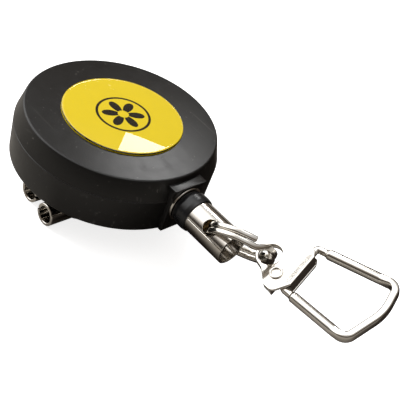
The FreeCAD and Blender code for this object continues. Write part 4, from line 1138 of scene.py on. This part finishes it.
# ------------------------------------------------------------------ studio
def make_stage():
    """Pale floor, soft light and the camera."""
    s = setting("stage")
    scene = bpy.context.scene
    scene.view_settings.view_transform = "Standard"
    world = bpy.data.worlds.new("Studio")
    scene.world = world
    world.use_nodes = True
    world.node_tree.nodes.clear()
    n = Nodes(world.node_tree)
    way = n.add("ShaderNodeTexCoord").outputs["Generated"]
    split = n.add("ShaderNodeSeparateXYZ", Vector=way)
    low = n.remap(split.outputs[2], 0.16, 0.46, 0.0, 1.0)
    high = n.remap(split.outputs[2], 0.60, 0.85, 0.0, 1.0)
    aside = n.add("ShaderNodeVectorMath", _0=way, _1=(-0.80, -0.25, 0.55))
    aside.operation = "DOT_PRODUCT"
    bright = n.remap(aside.outputs["Value"], 0.70, 0.90, 0.0, 1.0)
    tone = n.blend(low, (0.03, 0.026, 0.022), (0.24, 0.20, 0.165))
    tone = n.blend(high, tone, (0.9, 0.9, 0.9))
    tone = n.blend(bright, tone, (1.0, 1.0, 1.0))
    rays = n.add("ShaderNodeLightPath")
    tint = n.blend(rays.outputs["Is Camera Ray"], tone, (1.0, 1.0, 1.0))
    overhead = n.remap(split.outputs[2], 0.93, 0.98, 0.0, 1.6)
    glare = n.sums("MULTIPLY", n.sums("ADD", n.sums("MULTIPLY", bright, 1.4), overhead),
                   rays.outputs["Is Glossy Ray"])
    strength = n.remap(rays.outputs["Is Camera Ray"], 0.0, 1.0, n.sums("ADD", glare, s.fill), 1.0)
    glow = n.add("ShaderNodeBackground", Color=tint, Strength=strength)
    out = n.add("ShaderNodeOutputWorld")
    n.feed(out.inputs["Surface"], glow.outputs[0])

    floor_mesh = bpy.data.meshes.new("floor")
    w = 1.5
    floor_mesh.from_pydata([(-w, -w, 0), (w, -w, 0), (w, w, 0), (-w, w, 0)], [], [(0, 1, 2, 3)])
    floor = bpy.data.objects.new("floor", floor_mesh)
    scene.collection.objects.link(floor)
    material, n, shader = new_material("Pale floor")
    shader.inputs["Base Color"].default_value = (*s.floor, 1.0)
    shader.inputs["Roughness"].default_value = 0.9
    shader.inputs["Specular IOR Level"].default_value = 0.1
    # Painted reflection: glossy rays see the floor near black brown, lighter only on its -X side and towards
    # -Y, in place of the light and shade the metal would mirror; the camera sees it pale.
    rays = n.add("ShaderNodeLightPath")
    split = n.add("ShaderNodeSeparateXYZ", Vector=n.add("ShaderNodeTexCoord").outputs["Object"])
    slant = n.sums("SUBTRACT", split.outputs[1], n.sums("MULTIPLY", split.outputs[0], 0.5))
    # near: mask of where the painted reflection turns lighter.
    near = n.sums("MAXIMUM", n.remap(slant, -0.045, -0.015, 1.0, 0.0),
                  n.remap(split.outputs[0], -0.01, 0.01, 2.4, 0.0))
    painted_reflection = n.blend(near, (0.028, 0.022, 0.018), (0.36, 0.335, 0.30))
    floor_or_painted_reflection = n.blend(rays.outputs["Is Glossy Ray"], tuple(s.floor), painted_reflection)
    n.feed(shader.inputs["Base Color"], floor_or_painted_reflection)
    glow = n.add("ShaderNodeEmission", Color=(1.0, 1.0, 1.0), Strength=0.8)
    both = n.add("ShaderNodeAddShader")
    n.feed(both.inputs[0], shader.outputs[0])
    n.feed(both.inputs[1], glow.outputs[0])
    mix = n.add("ShaderNodeMixShader", _0=rays.outputs["Is Camera Ray"])
    n.feed(mix.inputs[1], shader.outputs[0])
    n.feed(mix.inputs[2], both.outputs[0])
    n.feed(material.node_tree.nodes["Material Output"].inputs["Surface"], mix.outputs[0])
    floor.data.materials.append(material)
    floor.location = (0.0, 0.0, -0.0002)

    def lamp(name, place, target, size, size_y, power, tint=(1.0, 1.0, 1.0)):
        """Rectangular lamp at a place, turned to its target."""
        data = bpy.data.lights.new(name, "AREA")
        data.shape = "RECTANGLE"
        data.size, data.size_y, data.energy, data.color = size, size_y, power, tint
        thing = bpy.data.objects.new(name, data)
        thing.location = place
        thing.rotation_euler = (Vector(target) - Vector(place)).to_track_quat("-Z", "Y").to_euler()
        scene.collection.objects.link(thing)
        return thing

    lamp("window", (-0.086, 0.133, 0.169), (0.008, 0.0, 0.019), 0.046, 0.034, s.key)
    lamp("soft_left", (-0.30, -0.10, 0.30), (0.02, 0, 0.01), 0.22, 0.22, s.key * 30.0).visible_glossy = False

    data = bpy.data.cameras.new("view")
    data.sensor_width, data.lens = 36.0, s.lens
    data.clip_start, data.clip_end = 0.005, 20.0
    camera = bpy.data.objects.new("view", data)
    right, up, forward = CAMERA_AXES
    camera.matrix_world = Matrix(((right[0], up[0], -forward[0], CAMERA_PLACE[0]),
                                  (right[1], up[1], -forward[1], CAMERA_PLACE[1]),
                                  (right[2], up[2], -forward[2], CAMERA_PLACE[2] + CASE_LOW),
                                  (0.0, 0.0, 0.0, 1.0)))
    scene.collection.objects.link(camera)
    scene.camera = camera


CAMERA_PLACE = (0.09837, -0.10793, 0.11092)
CAMERA_AXES = ((0.64853, 0.70840, 0.27853), (-0.61518, 0.27228, 0.73988), (-0.44829, 0.65118, -0.61237))


# ------------------------------------------------------------------ operators and panel
def operator(class_name, idname, label, text, work):
    """Operator class that makes one group of pieces."""
    def execute(self, context):
        work()
        return {"FINISHED"}
    members = {"bl_idname": idname, "bl_label": label, "__doc__": text,
               "bl_options": {"REGISTER", "UNDO"}, "execute": execute}
    return type(class_name, (bpy.types.Operator,), members)


OPERATORS = [
    operator("REEL_OT_case", "reel.case", "Case", "Make the two covers and the nozzle", make_case),
    operator("REEL_OT_label", "reel.label", "Label", "Make the printed disc and its dome", make_label),
    operator("REEL_OT_mechanism", "reel.mechanism", "Mechanism", "Finish the drum, spring and post",
             make_mechanism),
    operator("REEL_OT_eyelet", "reel.eyelet", "Eyelet", "Make the nozzle's eyelet", make_eyelet),
    operator("REEL_OT_collar", "reel.collar", "Collar", "Make the rubber collar", make_collar),
    operator("REEL_OT_tube", "reel.tube", "End tube", "Make the rolled tube and the cord's stop", make_tube),
    operator("REEL_OT_cord", "reel.cord", "Cord", "Make the cord", make_cord),
    operator("REEL_OT_ring", "reel.ring", "Split ring", "Make the split ring", make_ring),
    operator("REEL_OT_plate", "reel.plate", "Plate", "Make the folded plate and its rivet", make_plate),
    operator("REEL_OT_bail", "reel.bail", "Bail", "Make the wire bail", make_bail),
    operator("REEL_OT_clip", "reel.clip", "Back clip", "Make the back clip", make_clip),
    operator("REEL_OT_stage", "reel.stage", "Studio", "Make the floor, the lamps and the camera", make_stage),
]
GROUPS = {"case": ReelCaseSize, "label": ReelLabelLook, "cord": ReelCordEnd, "snap": ReelSnapSize,
          "clip": ReelClipSize, "finishes": ReelFinishes, "stage": ReelStageLook}


class REEL_PT_panel(bpy.types.Panel):
    """Sidebar list of the reel's pieces."""
    bl_idname = "REEL_PT_panel"
    bl_label = "Badge reel"
    bl_space_type = "VIEW_3D"
    bl_region_type = "UI"
    bl_category = "Badge reel"

    def draw(self, context):
        """Each operator as a button, then each group's properties."""
        for kind in OPERATORS:
            self.layout.operator(kind.bl_idname)
        for name, kind in GROUPS.items():
            box = self.layout.box()
            box.label(text=name.title())
            for key in kind.__annotations__:
                box.prop(getattr(context.scene, "reel_" + name), key)


def register():
    """Registers the property groups, operators and panel."""
    for name, kind in GROUPS.items():
        bpy.utils.register_class(kind)
        setattr(bpy.types.Scene, "reel_" + name, bpy.props.PointerProperty(type=kind))
    for kind in [*OPERATORS, REEL_PT_panel]:
        bpy.utils.register_class(kind)


def unregister():
    """Removes what register added."""
    for kind in [REEL_PT_panel, *reversed(OPERATORS)]:
        bpy.utils.unregister_class(kind)
    for name, kind in GROUPS.items():
        delattr(bpy.types.Scene, "reel_" + name)
        bpy.utils.unregister_class(kind)


def main():
    """Makes every piece, then writes the packed model's box and the dressed model's box."""
    register()
    for kind in OPERATORS:
        group, call = kind.bl_idname.split(".")
        getattr(getattr(bpy.ops, group), call)()


if __name__ == "__main__":
    main()
